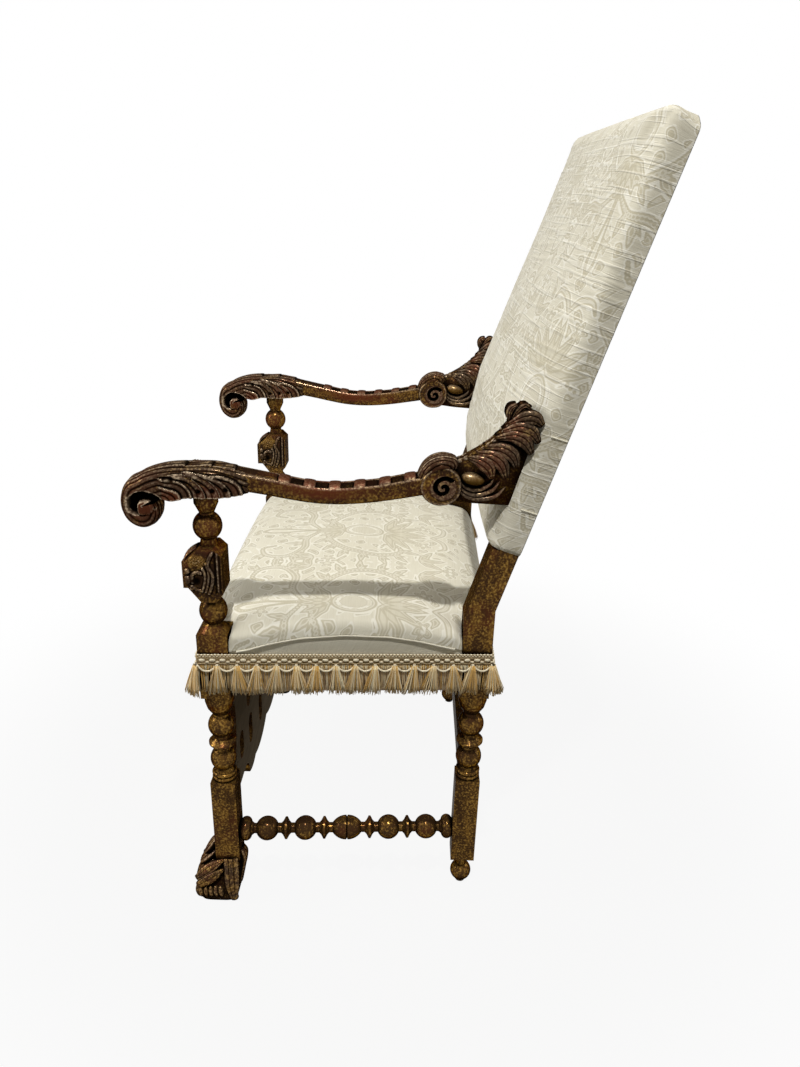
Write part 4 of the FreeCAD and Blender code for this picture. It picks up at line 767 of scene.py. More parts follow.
def make_bracket(shape):
    count = len(BRACKET_BOARD)
    board = [(lateral, *spot) for lateral in (-BRACKET_HALF, BRACKET_HALF) for spot in BRACKET_BOARD]
    faces = [tuple(range(count)), tuple(range(2 * count - 1, count - 1, -1))]
    faces += [(i, i + count, (i + 1) % count + count, (i + 1) % count) for i in range(count)]
    # Painted shade on the board behind the lobes
    shape.add(board, faces, red=0.1, dark=0.25, gold=0.1)
    rope = 2.1 + 1.1 * ridge(np.linspace(0, 12, 140), 1.5)
    crescent = 3.4 * np.sin(math.pi * np.linspace(0.03, 0.97, 60)) ** 0.7
    for side in (1, -1):
        for rank, lobe in enumerate(FAN_LOBES):
            outs, widths = TIP_LOBE if rank in TIP_LOBES else BROAD_LOBE
            spine = [(side * (BRACKET_HALF + out), *spot) for out, spot in zip(outs, lobe)]
            shape.add(*ribbed_leaf(spine, (side, 0, 0), widths, 3, 4.6, 6.0))
        rib = [(side * (BRACKET_HALF - 2.5), *spot) for spot in MIDRIB]
        # Painted highlight with wear on the midrib
        shape.add(*round_strip(rib, rope, len(rope)), worn=0.7)
        points, faces = lump((side * (BRACKET_HALF + 3), *EGG), (16.5, 8.6, 10.0), -0.19)
        # Painted light on the egg: a highlight with wear on its top and painted shade on its lower half
        shine = smoothstep(points[..., 2], EGG[1] - 2, EGG[1] + 8)
        shape.add(points, faces, gold=0.6, worn=0.5 * shine, dark=0.5 * (1 - shine))
        # Crescents under the egg get painted highlight with wear
        for path in CRESCENTS:
            strip = [(side * (BRACKET_HALF + 3.5), *spot) for spot in path]
            shape.add(*round_strip(strip, crescent, len(crescent)), worn=0.25)


def make_pair(shape, name):
    """A carved piece on the left and its mirror image on the right, each with the name of its side."""
    pieces = []
    for side in ("left", "right"):
        pieces.append((side, shape.make(f"{name}_{side}", CARVED, "gilt_walnut", mirror=side == "right")))
    return pieces


def make_arms():
    shape = Shape(arm_to_chair)
    shape.add(*swept_leaf(FRONT_LEAF, 400, carve_front_leaf))
    make_rail(shape)
    make_volute(shape)
    shape.add(*swept_leaf(HUMP_LEAF, 110, carve_hump))
    make_bracket(shape)
    for side, arm in make_pair(shape, "carved_arm"):
        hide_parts(f"arm_{side}")


# Carved faces of the arm support: ribs of a curled leaf as (height, half width, points on the face)
BLOCK_LOW = 531.0
BLOCK_HIGH = 611.0
BLOCK_RIBS = (
    (3.6, 3.0, ((9, 606), (4, 596), (2, 586), (8, 574), (7, 560), (2, 546))),
    (3.4, 2.6, ((0, 590), (3, 578), (2, 564), (-2, 548))),
    (3.4, 2.6, ((-5, 582), (-2, 573), (-3, 561), (-7, 549))),
    (4.2, 3.2, ((-8, 576), (-14, 577), (-20, 572), (-19, 562))),
    (3.2, 2.6, ((-9, 549), (-15, 551), (-21, 556))),
)
# Round knobs: (y, z, radius, height)
BLOCK_KNOBS = ((-26.5, 566.0, 6.5, 5.5), (-27, 578, 5.0, 4.5), (-22, 552, 4.0, 3.0))
BLOCK_HOLE = (-14.5, 563.0)
BLOCK_PANEL = (-13.0, 594.0)
# Upright flutes at the rear: (y, half width, height)
BLOCK_FLUTES = ((15.3, 1.9, 2.6), (20.8, 1.8, 2.2))
# Front and rear edges of the carved field, which narrows with the block's shoulders: (z, y)
BLOCK_FRONT = ((BLOCK_LOW, -10.5), (557.7, -31), (591, -31), (BLOCK_HIGH, -10.5))
BLOCK_REAR = ((BLOCK_LOW, 10.5), (544.3, 21), (601, 21), (BLOCK_HIGH, 10.5))
# Leaf that hangs down the front: (y, z, the way it faces in y and z, half width)
SUPPORT_LEAF = (
    (-15, 607, -0.5, 0.9, 10), (-29, 595, -1, 0.4, 16), (-32, 577, -1, 0, 19), (-29, 557, -1, -0.4, 16),
    (-15, 543, -0.5, -0.9, 8),
)


def stroke(u, v, controls):
    """How far inside a curved stroke each point lies; controls are (u, v, half width)."""
    best = np.full(np.shape(u), -1e3)
    for u0, v0, half in smooth_path(controls, 36):
        best = np.maximum(best, half - np.hypot(u - u0, v - v0))
    return best


def block_relief(y, z):
    """Height of the carving on the side of the arm support: a curled leaf in front and flutes behind."""
    relief = np.full(y.shape, 0.7)
    for height, half, path in BLOCK_RIBS:
        inside = stroke(y, z, [(*spot, half) for spot in path]) / half
        relief = np.maximum(relief, height * np.sqrt(np.clip(inside * (2 - inside), 0, 1)))
    for *centre, radius, height in BLOCK_KNOBS:
        away = np.hypot(y - centre[0], z - centre[1]) / radius
        relief = np.maximum(relief, height * np.sqrt(np.clip(1 - away ** 2, 0, 1)))
    # A rough gilt field above the leaf, and upright flutes at the rear
    field = np.clip(1.2 - np.hypot((y - BLOCK_PANEL[0]) / 15, (z - BLOCK_PANEL[1]) / 12), 0, 1)
    grains = np.sin(y * 1.45 + np.sin(z)) * np.sin(z * 1.35 + np.sin(y))
    relief = np.maximum(relief, field * (2.6 + 0.9 * grains))
    flute = sum(height * bump_at(y, middle, half) for middle, half, height in BLOCK_FLUTES)
    relief = np.maximum(relief, flute * smoothstep(z, 543, 550))
    hole = np.exp(-(np.hypot(y - BLOCK_HOLE[0], z - BLOCK_HOLE[1]) / 6.0) ** 4)
    # The hole and the grooves beside the flutes get painted shade
    dark = np.maximum(hole, np.maximum(bump_at(y, 11.8, 1.4), bump_at(y, 18.2, 0.9)) * (z > 545))
    return relief * (1 - 0.75 * hole), dark, field


def make_arm_supports():
    shape = Shape(post_to_chair)
    rows, cols = 116, 76
    z = np.linspace(BLOCK_LOW + 2, BLOCK_HIGH - 2, rows)[:, None] * np.ones(cols)
    share = np.linspace(0, 1, cols)
    front, rear = follow(z, BLOCK_FRONT) + 0.5, follow(z, BLOCK_REAR) - 0.3
    y = front + (rear - front) * share
    relief, dark, gold = block_relief(y, z)
    rank = np.arange(rows)[:, None]
    border = np.minimum(np.minimum(share, 1 - share) * cols, np.minimum(rank, rows - 1 - rank)) / 3.0
    border = np.clip(border, 0, 1)
    lift = relief * border - 1.5 * (1 - border)
    # Painted highlight with wear on the relief, painted shade in its hollows, the hole and the flute grooves
    paint = carving_paint(relief, reach=3, scale=0.8)
    faces = grid_faces(rows, cols, wrap=False)
    for side in (1, -1):
        shape.add(np.stack([side * (SEAT_BLOCK / 2 + lift), y, z], axis=2), [face[::side] for face in faces],
                  worn=0.6 * paint["worn"], dark=np.maximum(paint["dark"], dark), gold=0.7 * gold)
    leaf = np.array(SUPPORT_LEAF, float)
    middle = np.zeros(len(leaf))
    spine = np.column_stack([middle, leaf[:, :2]])
    normals = np.column_stack([middle, leaf[:, 2:4]])
    shape.add(*ribbed_leaf(spine, normals, leaf[:, 4], 7, 3.2, 4.0, cols=57))
    make_pair(shape, "arm_support_carving")


# Leaves of the carved front feet: (spine, direction they face, half widths, ribs)
FOOT_LEAVES = (
    # Leaf in front of the leg, in two steps
    (((0, -18, 94), (0, -25, 86), (0, -32, 76), (0, -39, 63)), (0, -0.8, 0.6), (7, 12, 14, 7), 5),
    (((0, -18, 76), (0, -29, 66), (0, -39, 57), (0, -47, 45)), (0, -0.6, 0.8), (12, 18, 20, 13), 5),
    # Strips that fall forwards over the toes
    (((21, -6, 66), (28, -22, 58), (33, -35, 50), (36, -48, 40)), (0.85, 0, 0.5), (2, 8, 9, 5), 3),
    (((30, -5, 55), (36, -18, 47), (39, -31, 39), (41, -46, 31)), (0.95, 0, 0.4), (2, 7, 8, 5), 2),
    (((-19, -8, 62), (-21, -22, 56), (-22, -35, 48), (-23, -46, 38)), (-0.9, 0, 0.4), (7, 9, 10, 7), 3),
    (((10, -24, 60), (12, -36, 50), (14, -46, 40), (15, -50, 28)), (0.2, -0.9, 0.5), (8, 11, 12, 8), 4),
    (((-11, -24, 58), (-12, -36, 48), (-13, -46, 38), (-14, -50, 26)), (-0.2, -0.9, 0.5), (7, 9, 10, 7), 3),
    # Broad ridged tongue down the rear half of the outer side
    (((20, 5, 68), (29, 7, 50), (37, 9, 28), (41, 12, 5)), (0.95, 0.1, 0.3), (12, 12, 11, 6), 3),
    (((0, 19, 74), (0, 24, 58), (2, 20, 34), (4, 15, 8)), (0, 1, 0.2), (10, 14, 15, 12), 4),
)
# Toes at the outside, the front and the inside: where a row starts, its span, a toe's radii, tilt and gold
TOES = 5
TOE_ROWS = (
    ((37.5, -45, 17), (0, 40, 0), (4.8, 11.5, 8.0), 0.12, 0.2),
    ((-21, -44, 14), (60, 0, 0), (8.0, 14.0, 6.2), 0.0, 0.2),
    ((-21, -40, 17), (0, 38, 0), (4.8, 14.0, 4.6), 0.0, 0.0),
)


def make_feet():
    shape = Shape(post_to_chair)
    rows, cols = 60, 96
    z = np.linspace(0, 64, rows)
    rise = smoothstep(z, 18, 60)
    tuck = 3 * (1 - smoothstep(z, 0, 9)) ** 2
    plinth = 3.5 * (1 - smoothstep(z, 6, 9))
    # Both ends of the block in x and in y at each height, joined by a squarish ring
    spans = (
        (-24 + 5 * rise + tuck, 40 - 21 * rise + plinth - tuck, np.cos(circle(cols))),
        (-46 + 27 * rise + tuck, 17 + 2 * rise - tuck, np.sin(circle(cols))),
    )
    plan = [((low + high) / 2)[:, None] + np.outer((high - low) / 2, np.sign(wave) * np.abs(wave) ** 0.4)
            for low, high, wave in spans]
    # Painted shade on the foot's core behind its toes and leaves, darker above the toes
    dark = np.repeat(0.5 + smoothstep(z, 12, 30) * 0.2, cols)
    body = np.stack([*plan, np.repeat(z[:, None], cols, axis=1)], axis=2)
    shape.add(body, tube_faces(rows, cols), dark=dark)
    # Toes and leaves carry painted highlight with wear
    for share in (np.arange(TOES) + 0.5) / TOES:
        for start, span, radii, tilt, gold in TOE_ROWS:
            centre = np.array(start) + share * np.array(span)
            shape.add(*lump(centre, radii, tilt), worn=0.15, gold=gold)
    shape.add(*lump((38, 11, 6), (7.5, 5.8, 6.0)), gold=0.4)
    for spine, normal, widths, ribs in FOOT_LEAVES:
        points, faces, paint = ribbed_leaf(spine, normal, widths, ribs, 3.6, 5.0)
        shape.add(points, faces, paint, gold=0.15, worn=0.9 * paint["worn"])
    for side, foot in make_pair(shape, "carved_foot"):
        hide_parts(f"front_foot_{side}")


# Damask figure, drawn in millimetres on one half of a repeat that mirrors to the other half
FIGURE_WIDTH = 292.0
FIGURE_HEIGHT = 400.0
FIGURE_SCALE = 0.85
# Leaves that open from a root: (u, v, angles, length, half width)
FIGURE_FANS = (
    (4, 52, (88, 62, 38, 14), 92, 14),
    (3, -32, (-86, -60, -32), 62, 12),
    (118, 120, (100, 60, 150), 58, 11),
    (126, -80, (-70, -110, -30), 50, 10),
)
# Scrolling stems: (u, v, half width)
FIGURE_STEMS = (
    ((14, -66, 7), (58, -52, 8), (98, -14, 9), (112, 40, 9), (92, 82, 8), (64, 78, 6), (60, 54, 5),
     (76, 46, 4)),
    ((10, -84, 6), (44, -104, 8), (88, -104, 9), (122, -132, 8), (118, -172, 7), (88, -184, 6),
     (76, -162, 5)),
    ((0, -200, 5), (10, -176, 5), (4, -120, 4), (0, -84, 5)),
    ((0, 148, 6), (20, 168, 7), (48, 172, 6), (60, 158, 4)),
)
# Leaflets along the outer side of the stems: (u, v, angle)
FIGURE_LEAFLETS = (
    (40, -58, -50), (70, -44, -38), (96, -22, -20), (110, 10, 0), (114, 44, 22), (104, 70, 48), (84, 84, 80),
    (36, -100, -100), (62, -107, -84), (92, -106, -30), (116, -122, 10), (124, -150, 0), (112, -178, -50),
)
FIGURE_ROSETTES = ((44, 128, 19), (134, -52, 16), (20, -150, 15), (140, 180, 17))


def leaflet(u, v, angle, length, half):
    """How far inside a pointed leaflet with a wavy edge each point lies, counted from the leaflet's root."""
    cos, sin = math.cos(math.radians(angle)), math.sin(math.radians(angle))
    along = (u * cos + v * sin) / length
    across = np.abs(v * cos - u * sin)
    edge = half * np.sin(math.pi * np.clip(along, 0, 1) ** 0.7) * (0.92 + 0.08 * np.cos(along * 17))
    return np.where((along > 0) & (along < 1), edge - across, -10.0)


def figure_level(u, v):
    """Damask figure at points of the cloth: 0.5 on an outline, and more inside a shape."""
    u = np.abs((u / FIGURE_SCALE + FIGURE_WIDTH / 2) % FIGURE_WIDTH - FIGURE_WIDTH / 2)
    v = (v / FIGURE_SCALE + FIGURE_HEIGHT / 2) % FIGURE_HEIGHT - FIGURE_HEIGHT / 2
    egg = 1 - np.hypot(u / 30, (v - 8) / 42)
    shapes = [np.where(np.abs(egg - 0.34) < 0.10, -3.0, egg * 30)]
    shapes += [stroke(u, v, stem) for stem in FIGURE_STEMS]
    for u0, v0, angles, length, half in FIGURE_FANS:
        shapes += [leaflet(u - u0, v - v0, angle, length, half) for angle in angles]
    for u0, v0, angle in FIGURE_LEAFLETS:
        shapes += [leaflet(u - u0, v - v0, angle, 44, 9), leaflet(u - u0, v - v0, angle + 34, 30, 6)]
    for u0, v0, size in FIGURE_ROSETTES:
        r = np.hypot(u - u0, v - v0)
        petals = size * (0.74 + 0.26 * np.cos(5 * np.arctan2(v - v0, u - u0))) - r
        shapes.append(np.where(r < size * 0.28, -2.0, petals))
    level = np.maximum.reduce(shapes)
    # Small curling leaves fill the ground between the large ones
    curl = np.sin(u / 8.5 + 2.2 * np.sin(v / 21)) * np.sin(v / 9.5 + 2.2 * np.sin(u / 24))
    level = np.maximum(level, np.minimum(12 * (curl - 0.22), -3.0 - level))
    return np.clip(0.5 + level / 22.0, 0, 1)


# Upholstery
PRESSURE = 4.0
STIFFNESS = 25
BENDING = 8.0
SWELL_FRAMES = 20
# How far the simulation may move a pad's cover and the flat cover of the outside back, in metres
PAD_CAP = 0.003
COVER_CAP = 0.001
# Height of the slack folds, in metres
FOLD_HEIGHT = 0.0006


def vectors(collection, name):
    values = np.zeros(len(collection) * 3, np.float32)
    collection.foreach_get(name, values)
    return values.reshape(-1, 3).astype(float)


def set_points(mesh, spots):
    mesh.vertices.foreach_set("co", spots.astype(np.float32).ravel())
    mesh.update()


def cloth_piece(name, points, faces, cloth, pinned, cap):
    """A fabric mesh swollen by a short simulation and subdivided, with its flat coordinates kept."""
    mesh = bpy.data.meshes.new(name)
    rest = to_metres(points)
    mesh.from_pydata(rest.tolist(), [], faces)
    flat = np.column_stack([cloth, np.zeros(len(cloth))]) * 0.001
    layer = mesh.attributes.new("cloth", "FLOAT_VECTOR", "POINT")
    layer.data.foreach_set("vector", flat.astype(np.float32).ravel())
    mesh.update()
    piece = add_object(name, mesh)
    inflate(piece, rest, pinned, cap)
    subdivide(piece)
    return piece


def inflate(piece, rest, pinned, cap):
    """Swell the fabric with the padding's pressure and cap how far each point moves."""
    group = piece.vertex_groups.new(name="pinned")
    group.add([int(i) for i in np.flatnonzero(pinned)], 1.0, "REPLACE")
    cloth = piece.modifiers.new("padding", "CLOTH")
    settings = cloth.settings
    settings.vertex_group_mass = "pinned"
    settings.use_pressure = True
    settings.uniform_pressure_force = PRESSURE
    settings.effector_weights.gravity = 0
    settings.tension_stiffness = STIFFNESS
    settings.compression_stiffness = STIFFNESS
    settings.bending_stiffness = BENDING
    settings.quality = 5
    scene = bpy.context.scene
    for number in range(1, SWELL_FRAMES + 1):
        scene.frame_set(number)
    evaluated = piece.evaluated_get(bpy.context.evaluated_depsgraph_get())
    shift = vectors(evaluated.data.vertices, "co") - rest
    piece.modifiers.remove(cloth)
    scene.frame_set(1)
    size = np.linalg.norm(shift, axis=1, keepdims=True)
    shift *= np.minimum(1, cap / np.maximum(size, 1e-9))
    set_points(piece.data, rest + shift)


def subdivide(piece):
    modifier = piece.modifiers.new("smooth", "SUBSURF")
    modifier.levels = 2
    evaluated = piece.evaluated_get(bpy.context.evaluated_depsgraph_get())
    mesh = bpy.data.meshes.new_from_object(evaluated)
    piece.modifiers.remove(modifier)
    piece.data = mesh
    mesh.polygons.foreach_set("use_smooth", [True] * len(mesh.polygons))


def finish_fabric(piece, start, loose, *nodes, plain=False):
    """Paint the damask figure on a fabric piece, raise its slack folds and put it in the place of its solids.

    start is where the repeat begins, and the points that plain marks are left without a figure.
    """
    mesh = piece.data
    u, v, _ = vectors(mesh.attributes["cloth"].data, "vector").T * 1000
    level = np.where(plain, 0.0, figure_level(u, v - start))
    weave = np.sin(u / 61 + 1.7) * np.sin(v / 37 + 0.6) + 0.6 * np.sin(u / 143 + v / 71)
    folds = np.clip(np.sin(v / 3.1 + 2.0 * np.sin(u / 97 + v / 53)), 0, 1) ** 5 * smoothstep(weave, -0.1, 0.8)
    raised = (folds * loose)[:, None] * FOLD_HEIGHT
    set_points(mesh, vectors(mesh.vertices, "co") + vectors(mesh.vertices, "normal") * raised)
    paint_layer(mesh, "figure", level)
    paint_layer(mesh, "loose", np.full(len(u), loose))
    mesh.materials.clear()
    mesh.materials.append(DAMASK)
    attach(piece, "root")
    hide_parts(*nodes)


# Back: half its width, its ends along the rake from the knee, and its front and rear from the posts' middle
BACK_HALF = 284.2
BACK_LOW = 103.0
BACK_HIGH = 677.0
BACK_FRONT = -27.0
BACK_REAR = 19.0
# How far its front swells at most, and the share of that at shares of its height
BACK_CROWN = 44.0
BACK_SWELL = ((0.0, 0.15), (0.12, 0.75), (0.28, 1.0), (0.55, 0.75), (0.82, 0.38), (1.0, 0.10))
# Radii of its rounded edges across, in depth and upwards, and the drop of its upper rear corners
BACK_ROUND = (26.0, 26.0, 11.0)
CORNER_DROP = 10.0
SIDE_SEAMS = (170.0, 276.0)
BACK_REPEAT = 300.0


def back_to_chair(x, depth, rise):
    """Points of the raked back: depth is behind the posts' middle, rise is along the rake from the knee."""
    y = POST_SPACING + depth * math.cos(RAKE) + rise * math.sin(RAKE)
    z = KNEE_HEIGHT - depth * math.sin(RAKE) + rise * math.cos(RAKE)
    return np.stack([x, y, z], axis=-1)


class Sheet:
    """Points and quads of a fabric; each point is kept once, under a key that place turns into numbers."""

    def __init__(self, place):
        self.place = place
        self.index = {}
        self.points = []
        self.faces = []

    def quad(self, *keys, flip=False):
        for key in keys:
            if key not in self.index:
                self.index[key] = len(self.points)
                self.points.append(self.place(*key))
        face = tuple(self.index[key] for key in keys)
        self.faces.append(face[::-1] if flip else face)


def box_sheet(across, up, deep):
    """Front, sides, top and bottom of a box as one sheet: (x, depth, rise) points and faces."""
    sheet = Sheet(lambda i, j, k: (across[i], deep[j], up[k]))
    nx, nd, ns = len(across) - 1, len(deep) - 1, len(up) - 1
    for k in range(ns):
        for i in range(nx):
            sheet.quad((i, 0, k), (i + 1, 0, k), (i + 1, 0, k + 1), (i, 0, k + 1))
        for j in range(nd):
            sheet.quad((nx, j, k), (nx, j + 1, k), (nx, j + 1, k + 1), (nx, j, k + 1))
            sheet.quad((0, j + 1, k), (0, j, k), (0, j, k + 1), (0, j + 1, k + 1))
    for j in range(nd):
        for i in range(nx):
            sheet.quad((i, j, ns), (i + 1, j, ns), (i + 1, j + 1, ns), (i, j + 1, ns))
            sheet.quad((i, j + 1, 0), (i + 1, j + 1, 0), (i + 1, j, 0), (i, j, 0))
    return np.array(sheet.points, float), sheet.faces


def rounded_back(box):
    """Round the front edges of the back's box, most at the sides, and draw its upper rear corners down."""
    x, depth, rise = box.T
    round_x, round_deep, round_up = BACK_ROUND
    core = np.stack([
        np.clip(x, -BACK_HALF + round_x, BACK_HALF - round_x),
        np.maximum(depth, BACK_FRONT + round_deep),
        np.clip(rise, BACK_LOW + round_up * 0.5, BACK_HIGH - round_up),
    ], axis=1)
    out = (box - core) / BACK_ROUND
    size = np.maximum(np.linalg.norm(out, axis=1, keepdims=True), 1.0)
    x, depth, rise = (core + out / size * BACK_ROUND).T
    corner = smoothstep(np.abs(x), BACK_HALF - 40, BACK_HALF - 4)
    corner = corner * smoothstep(rise, BACK_HIGH - 50, BACK_HIGH)
    return x, depth, rise - CORNER_DROP * corner * smoothstep(depth, BACK_FRONT + 12, BACK_REAR)


def make_back():
    cell = 7.5
    across, up = spread(-BACK_HALF, BACK_HALF, cell), spread(BACK_LOW, BACK_HIGH, cell)
    box, faces = box_sheet(across, up, spread(BACK_FRONT, BACK_REAR, cell))
    x, depth, rise = box.T
    past = depth - BACK_FRONT
    u = x + np.where(np.isclose(np.abs(x), BACK_HALF), np.sign(x) * past, 0)
    v = rise + np.where(np.isclose(rise, BACK_HIGH), past, 0) - np.where(np.isclose(rise, BACK_LOW), past, 0)
    x, depth, rise = rounded_back(box)
    share = np.clip((rise - BACK_LOW) / (BACK_HIGH - BACK_LOW), 0, 1)
    swell = follow(share, BACK_SWELL)
    width = np.clip(1 - (x / BACK_HALF) ** 2, 0, 1)
    front = 1 - smoothstep(depth, BACK_FRONT + 1, BACK_FRONT + 15)
    depth = depth - BACK_CROWN * swell * width ** 0.8 * front
    # Only the front may swell
    pinned = past > 1.0
    points = back_to_chair(x, depth, rise)
    piece = cloth_piece("back_pad", points, faces, np.stack([u, v], axis=1), pinned, PAD_CAP)
    finish_fabric(piece, BACK_REPEAT, 1.0, "back_cover", "back_stuffing", "back_hessian", "back_webbing")


def make_outside_back():
    """Cover of the outside back, pulled flat between the posts with a turned edge."""
    cell = 8.0
    x, rise = np.meshgrid(spread(-BACK_HALF, BACK_HALF, cell), spread(BACK_LOW, BACK_HIGH, cell))
    rows, columns = x.shape
    x, rise = x.ravel(), rise.ravel()
    edge = np.minimum(BACK_HALF - np.abs(x), np.minimum(rise - BACK_LOW, BACK_HIGH - rise))
    flat = np.stack([x, rise], axis=1)
    x, _, rise = rounded_back(np.stack([x, np.full(x.size, BACK_REAR), rise], axis=1))
    depth = BACK_REAR + 0.6 + 1.6 * smoothstep(edge, 0, 9) - 1.2 * smoothstep(edge, 9, 90)
    faces = [face[::-1] for face in grid_faces(rows, columns, wrap=False)]
    piece = cloth_piece("outside_back", back_to_chair(x, depth, rise), faces, flat, edge < 1, COVER_CAP)
    finish_fabric(piece, BACK_REPEAT, 0.3, "back_outside_cover")


# Seat: columns run straight between the posts, then out to the slanting sides
SEAT_FRONT = -22.0
SEAT_REAR = POST_SPACING + 22.0
FRONT_NOTCH = (FRONT_HALF - SEAT_BLOCK / 2 - 0.4, SEAT_BLOCK / 2 + 0.4)
REAR_NOTCH = (REAR_HALF - SEAT_BLOCK / 2 - 0.4, POST_SPACING - SEAT_BLOCK / 2 - 0.4)
SEAT_WALL_LOW = 434.0
SEAT_TACKED = 456.0
SEAT_REPEAT = 190.0
# Radii of the rolled edges at the sides, the ends and the posts
SIDE_ROLL = 7.0
END_ROLL = 24.0
NOTCH_ROLL = 12.0
# Heights of the seat along its middle and along its sides, at shares of its depth
CROWN = ((0, 500), (0.12, 509), (0.5, 518), (0.85, 503), (1.0, 486))
SIDE_CROWN = ((0, 476), (0.12, 482), (0.3, 495), (0.5, 501), (0.7, 495), (0.88, 481), (1.0, 472))
# Curved seam on the sides of the seat: (y, height)
SEAM = ((0, 450), (42, 454), (81, 466), (124, 475), (188, 480), (252, 477), (295, 470), (338, 459),
        (378, 450))
# How far the top cloth stands over the plain band there, and how far in from the side both of them reach
SEAM_STEP = 2.2
SIDE_BAND = 26.0
PIPING_OUT = 2.5
PIPING_RADIUS = 1.5
BACK_PIPING_RADIUS = 1.1


def seat_side(y):
    return FRONT_HALF + SEAT_BLOCK / 2 - SIDE_SLOPE * y


def seam_height(y):
    return follow(y, SEAM)


def seat_height(x, y):
    """Crowned top of the seat before its edges roll over."""
    across = np.clip(np.abs(x) / seat_side(y), 0, 1)
    t = np.clip((y - SEAT_FRONT) / (SEAT_REAR - SEAT_FRONT), 0, 1)
    middle, edge = follow(t, CROWN), follow(t, SIDE_CROWN)
    return edge + (middle - edge) * (1 - across ** 2.6)


def edge_distance(x, y):
    """Distances from a point of the seat's plan to its sides, its ends and the notches round the posts."""
    x = np.abs(x)
    sides = (seat_side(y) - x) / math.hypot(1, SIDE_SLOPE)
    ends = np.minimum(y - SEAT_FRONT, SEAT_REAR - y)
    front = np.hypot(np.maximum(FRONT_NOTCH[0] - x, 0), np.maximum(y - FRONT_NOTCH[1], 0))
    rear = np.hypot(np.maximum(REAR_NOTCH[0] - x, 0), np.maximum(REAR_NOTCH[1] - y, 0))
    return np.maximum(sides, 0), np.maximum(ends, 0), np.minimum(front, rear)


def roll(distance, radius):
    """Drop of a rolled edge: a quarter of a circle over its last stretch."""
    t = np.clip(1 - distance / radius, 0, 1)
    return radius * (1 - np.sqrt(np.clip(1 - t * t, 0, 1)))


def seat_grid():
    """Plan of the seat as rows and columns with the posts' notches left out."""
    cell = 7.0
    stops = (SEAT_FRONT, FRONT_NOTCH[1], REAR_NOTCH[1], SEAT_REAR)
    rows = [SEAT_FRONT]
    for low, high in zip(stops, stops[1:]):
        rows += list(np.linspace(low, high, max(2, round((high - low) / cell)) + 1)[1:])
    inner, outer = REAR_NOTCH[0], FRONT_NOTCH[0]
    middle = list(spread(0, inner, cell))
    straight = middle + list(np.linspace(inner, outer, 5)[1:])
    ring = list(np.linspace(0, 1, 8)[1:])

    def place(side, column, row):
        y = rows[row]
        if column < len(straight):
            return side * straight[column], y
        return side * (outer + (seat_side(y) - outer) * ring[column - len(straight)]), y

    sheet = Sheet(place)
    for row in range(len(rows) - 1):
        last = len(straight) + len(ring) - 1
        if rows[row + 1] <= FRONT_NOTCH[1] + 1e-6:
            last = len(straight) - 1
        elif rows[row] >= REAR_NOTCH[1] - 1e-6:
            last = len(middle) - 1
        for column in range(last):
            for side in (1, -1):
                near = side if column else 0
                sheet.quad((near, column, row), (side, column + 1, row), (side, column + 1, row + 1),
                           (near, column, row + 1), flip=side < 0)
    return np.array(sheet.points), sheet.faces


def boundary_loop(faces):
    """The outer edge of a sheet of faces, in order."""
    edges = {}
    for face in faces:
        for a, b in zip(face, face[1:] + face[:1]):
            if (b, a) in edges:
                del edges[(b, a)]
            else:
                edges[(a, b)] = True
    after = dict(edges.keys())
    loop = [next(iter(after))]
    while after[loop[-1]] != loop[0]:
        loop.append(after[loop[-1]])
    return loop


def make_seat():
    plan, faces = seat_grid()
    x, y = plan.T
    sides, ends, notch = edge_distance(x, y)
    z = seat_height(x, y) - roll(sides, SIDE_ROLL) - roll(ends, END_ROLL) - 0.8 * roll(notch, NOTCH_ROLL)
    points = [np.column_stack([x, y, z])]
    cloth = [plan]
    loop = boundary_loop(faces)
    walls = 7
    rim = points[0][loop]
    outward = rim[:, :2] / np.linalg.norm(rim[:, :2] / np.array([1.0, 0.8]), axis=1)[:, None]
    levels = [loop]
    for step in range(1, walls + 1):
        drop = (rim[:, 2] - SEAT_WALL_LOW) * step / walls
        points.append(np.column_stack([rim[:, :2], rim[:, 2] - drop]))
        cloth.append(plan[loop] + drop[:, None] * outward)
        levels.append([len(plan) + (step - 1) * len(loop) + i for i in range(len(loop))])
    for upper, lower in zip(levels, levels[1:]):
        for i in range(len(loop)):
            j = (i + 1) % len(loop)
            faces.append((upper[j], upper[i], lower[i], lower[j]))
    points = np.vstack(points)
    piece = cloth_piece("seat_pad", points, faces, np.vstack(cloth), points[:, 2] < SEAT_TACKED, PAD_CAP)
    below_seam = step_at_seam(piece)
    finish_fabric(piece, SEAT_REPEAT, 0.25, "seat_cover", "seat_stuffing", plain=below_seam)


def step_at_seam(piece):
    """Let the top cloth stand over the plain band below each side's seam, and mark the band's points."""
    spots = vectors(piece.data.vertices, "co")
    x, y, z = spots.T * 1000
    y = y - FRONT_POST_Y
    side = (seat_side(y) - np.abs(x) < SIDE_BAND) & (y > FRONT_NOTCH[1]) & (y < REAR_NOTCH[1])
    over = z - seam_height(y)
    proud = SEAM_STEP * smoothstep(over, -0.8, 0.8) * np.exp(-np.maximum(over, 0) / 16)
    proud = np.where(side, proud, 0)
    spots[:, 0] += np.sign(x) * proud * 0.001
    set_points(piece.data, spots)
    return side & (over < 0)


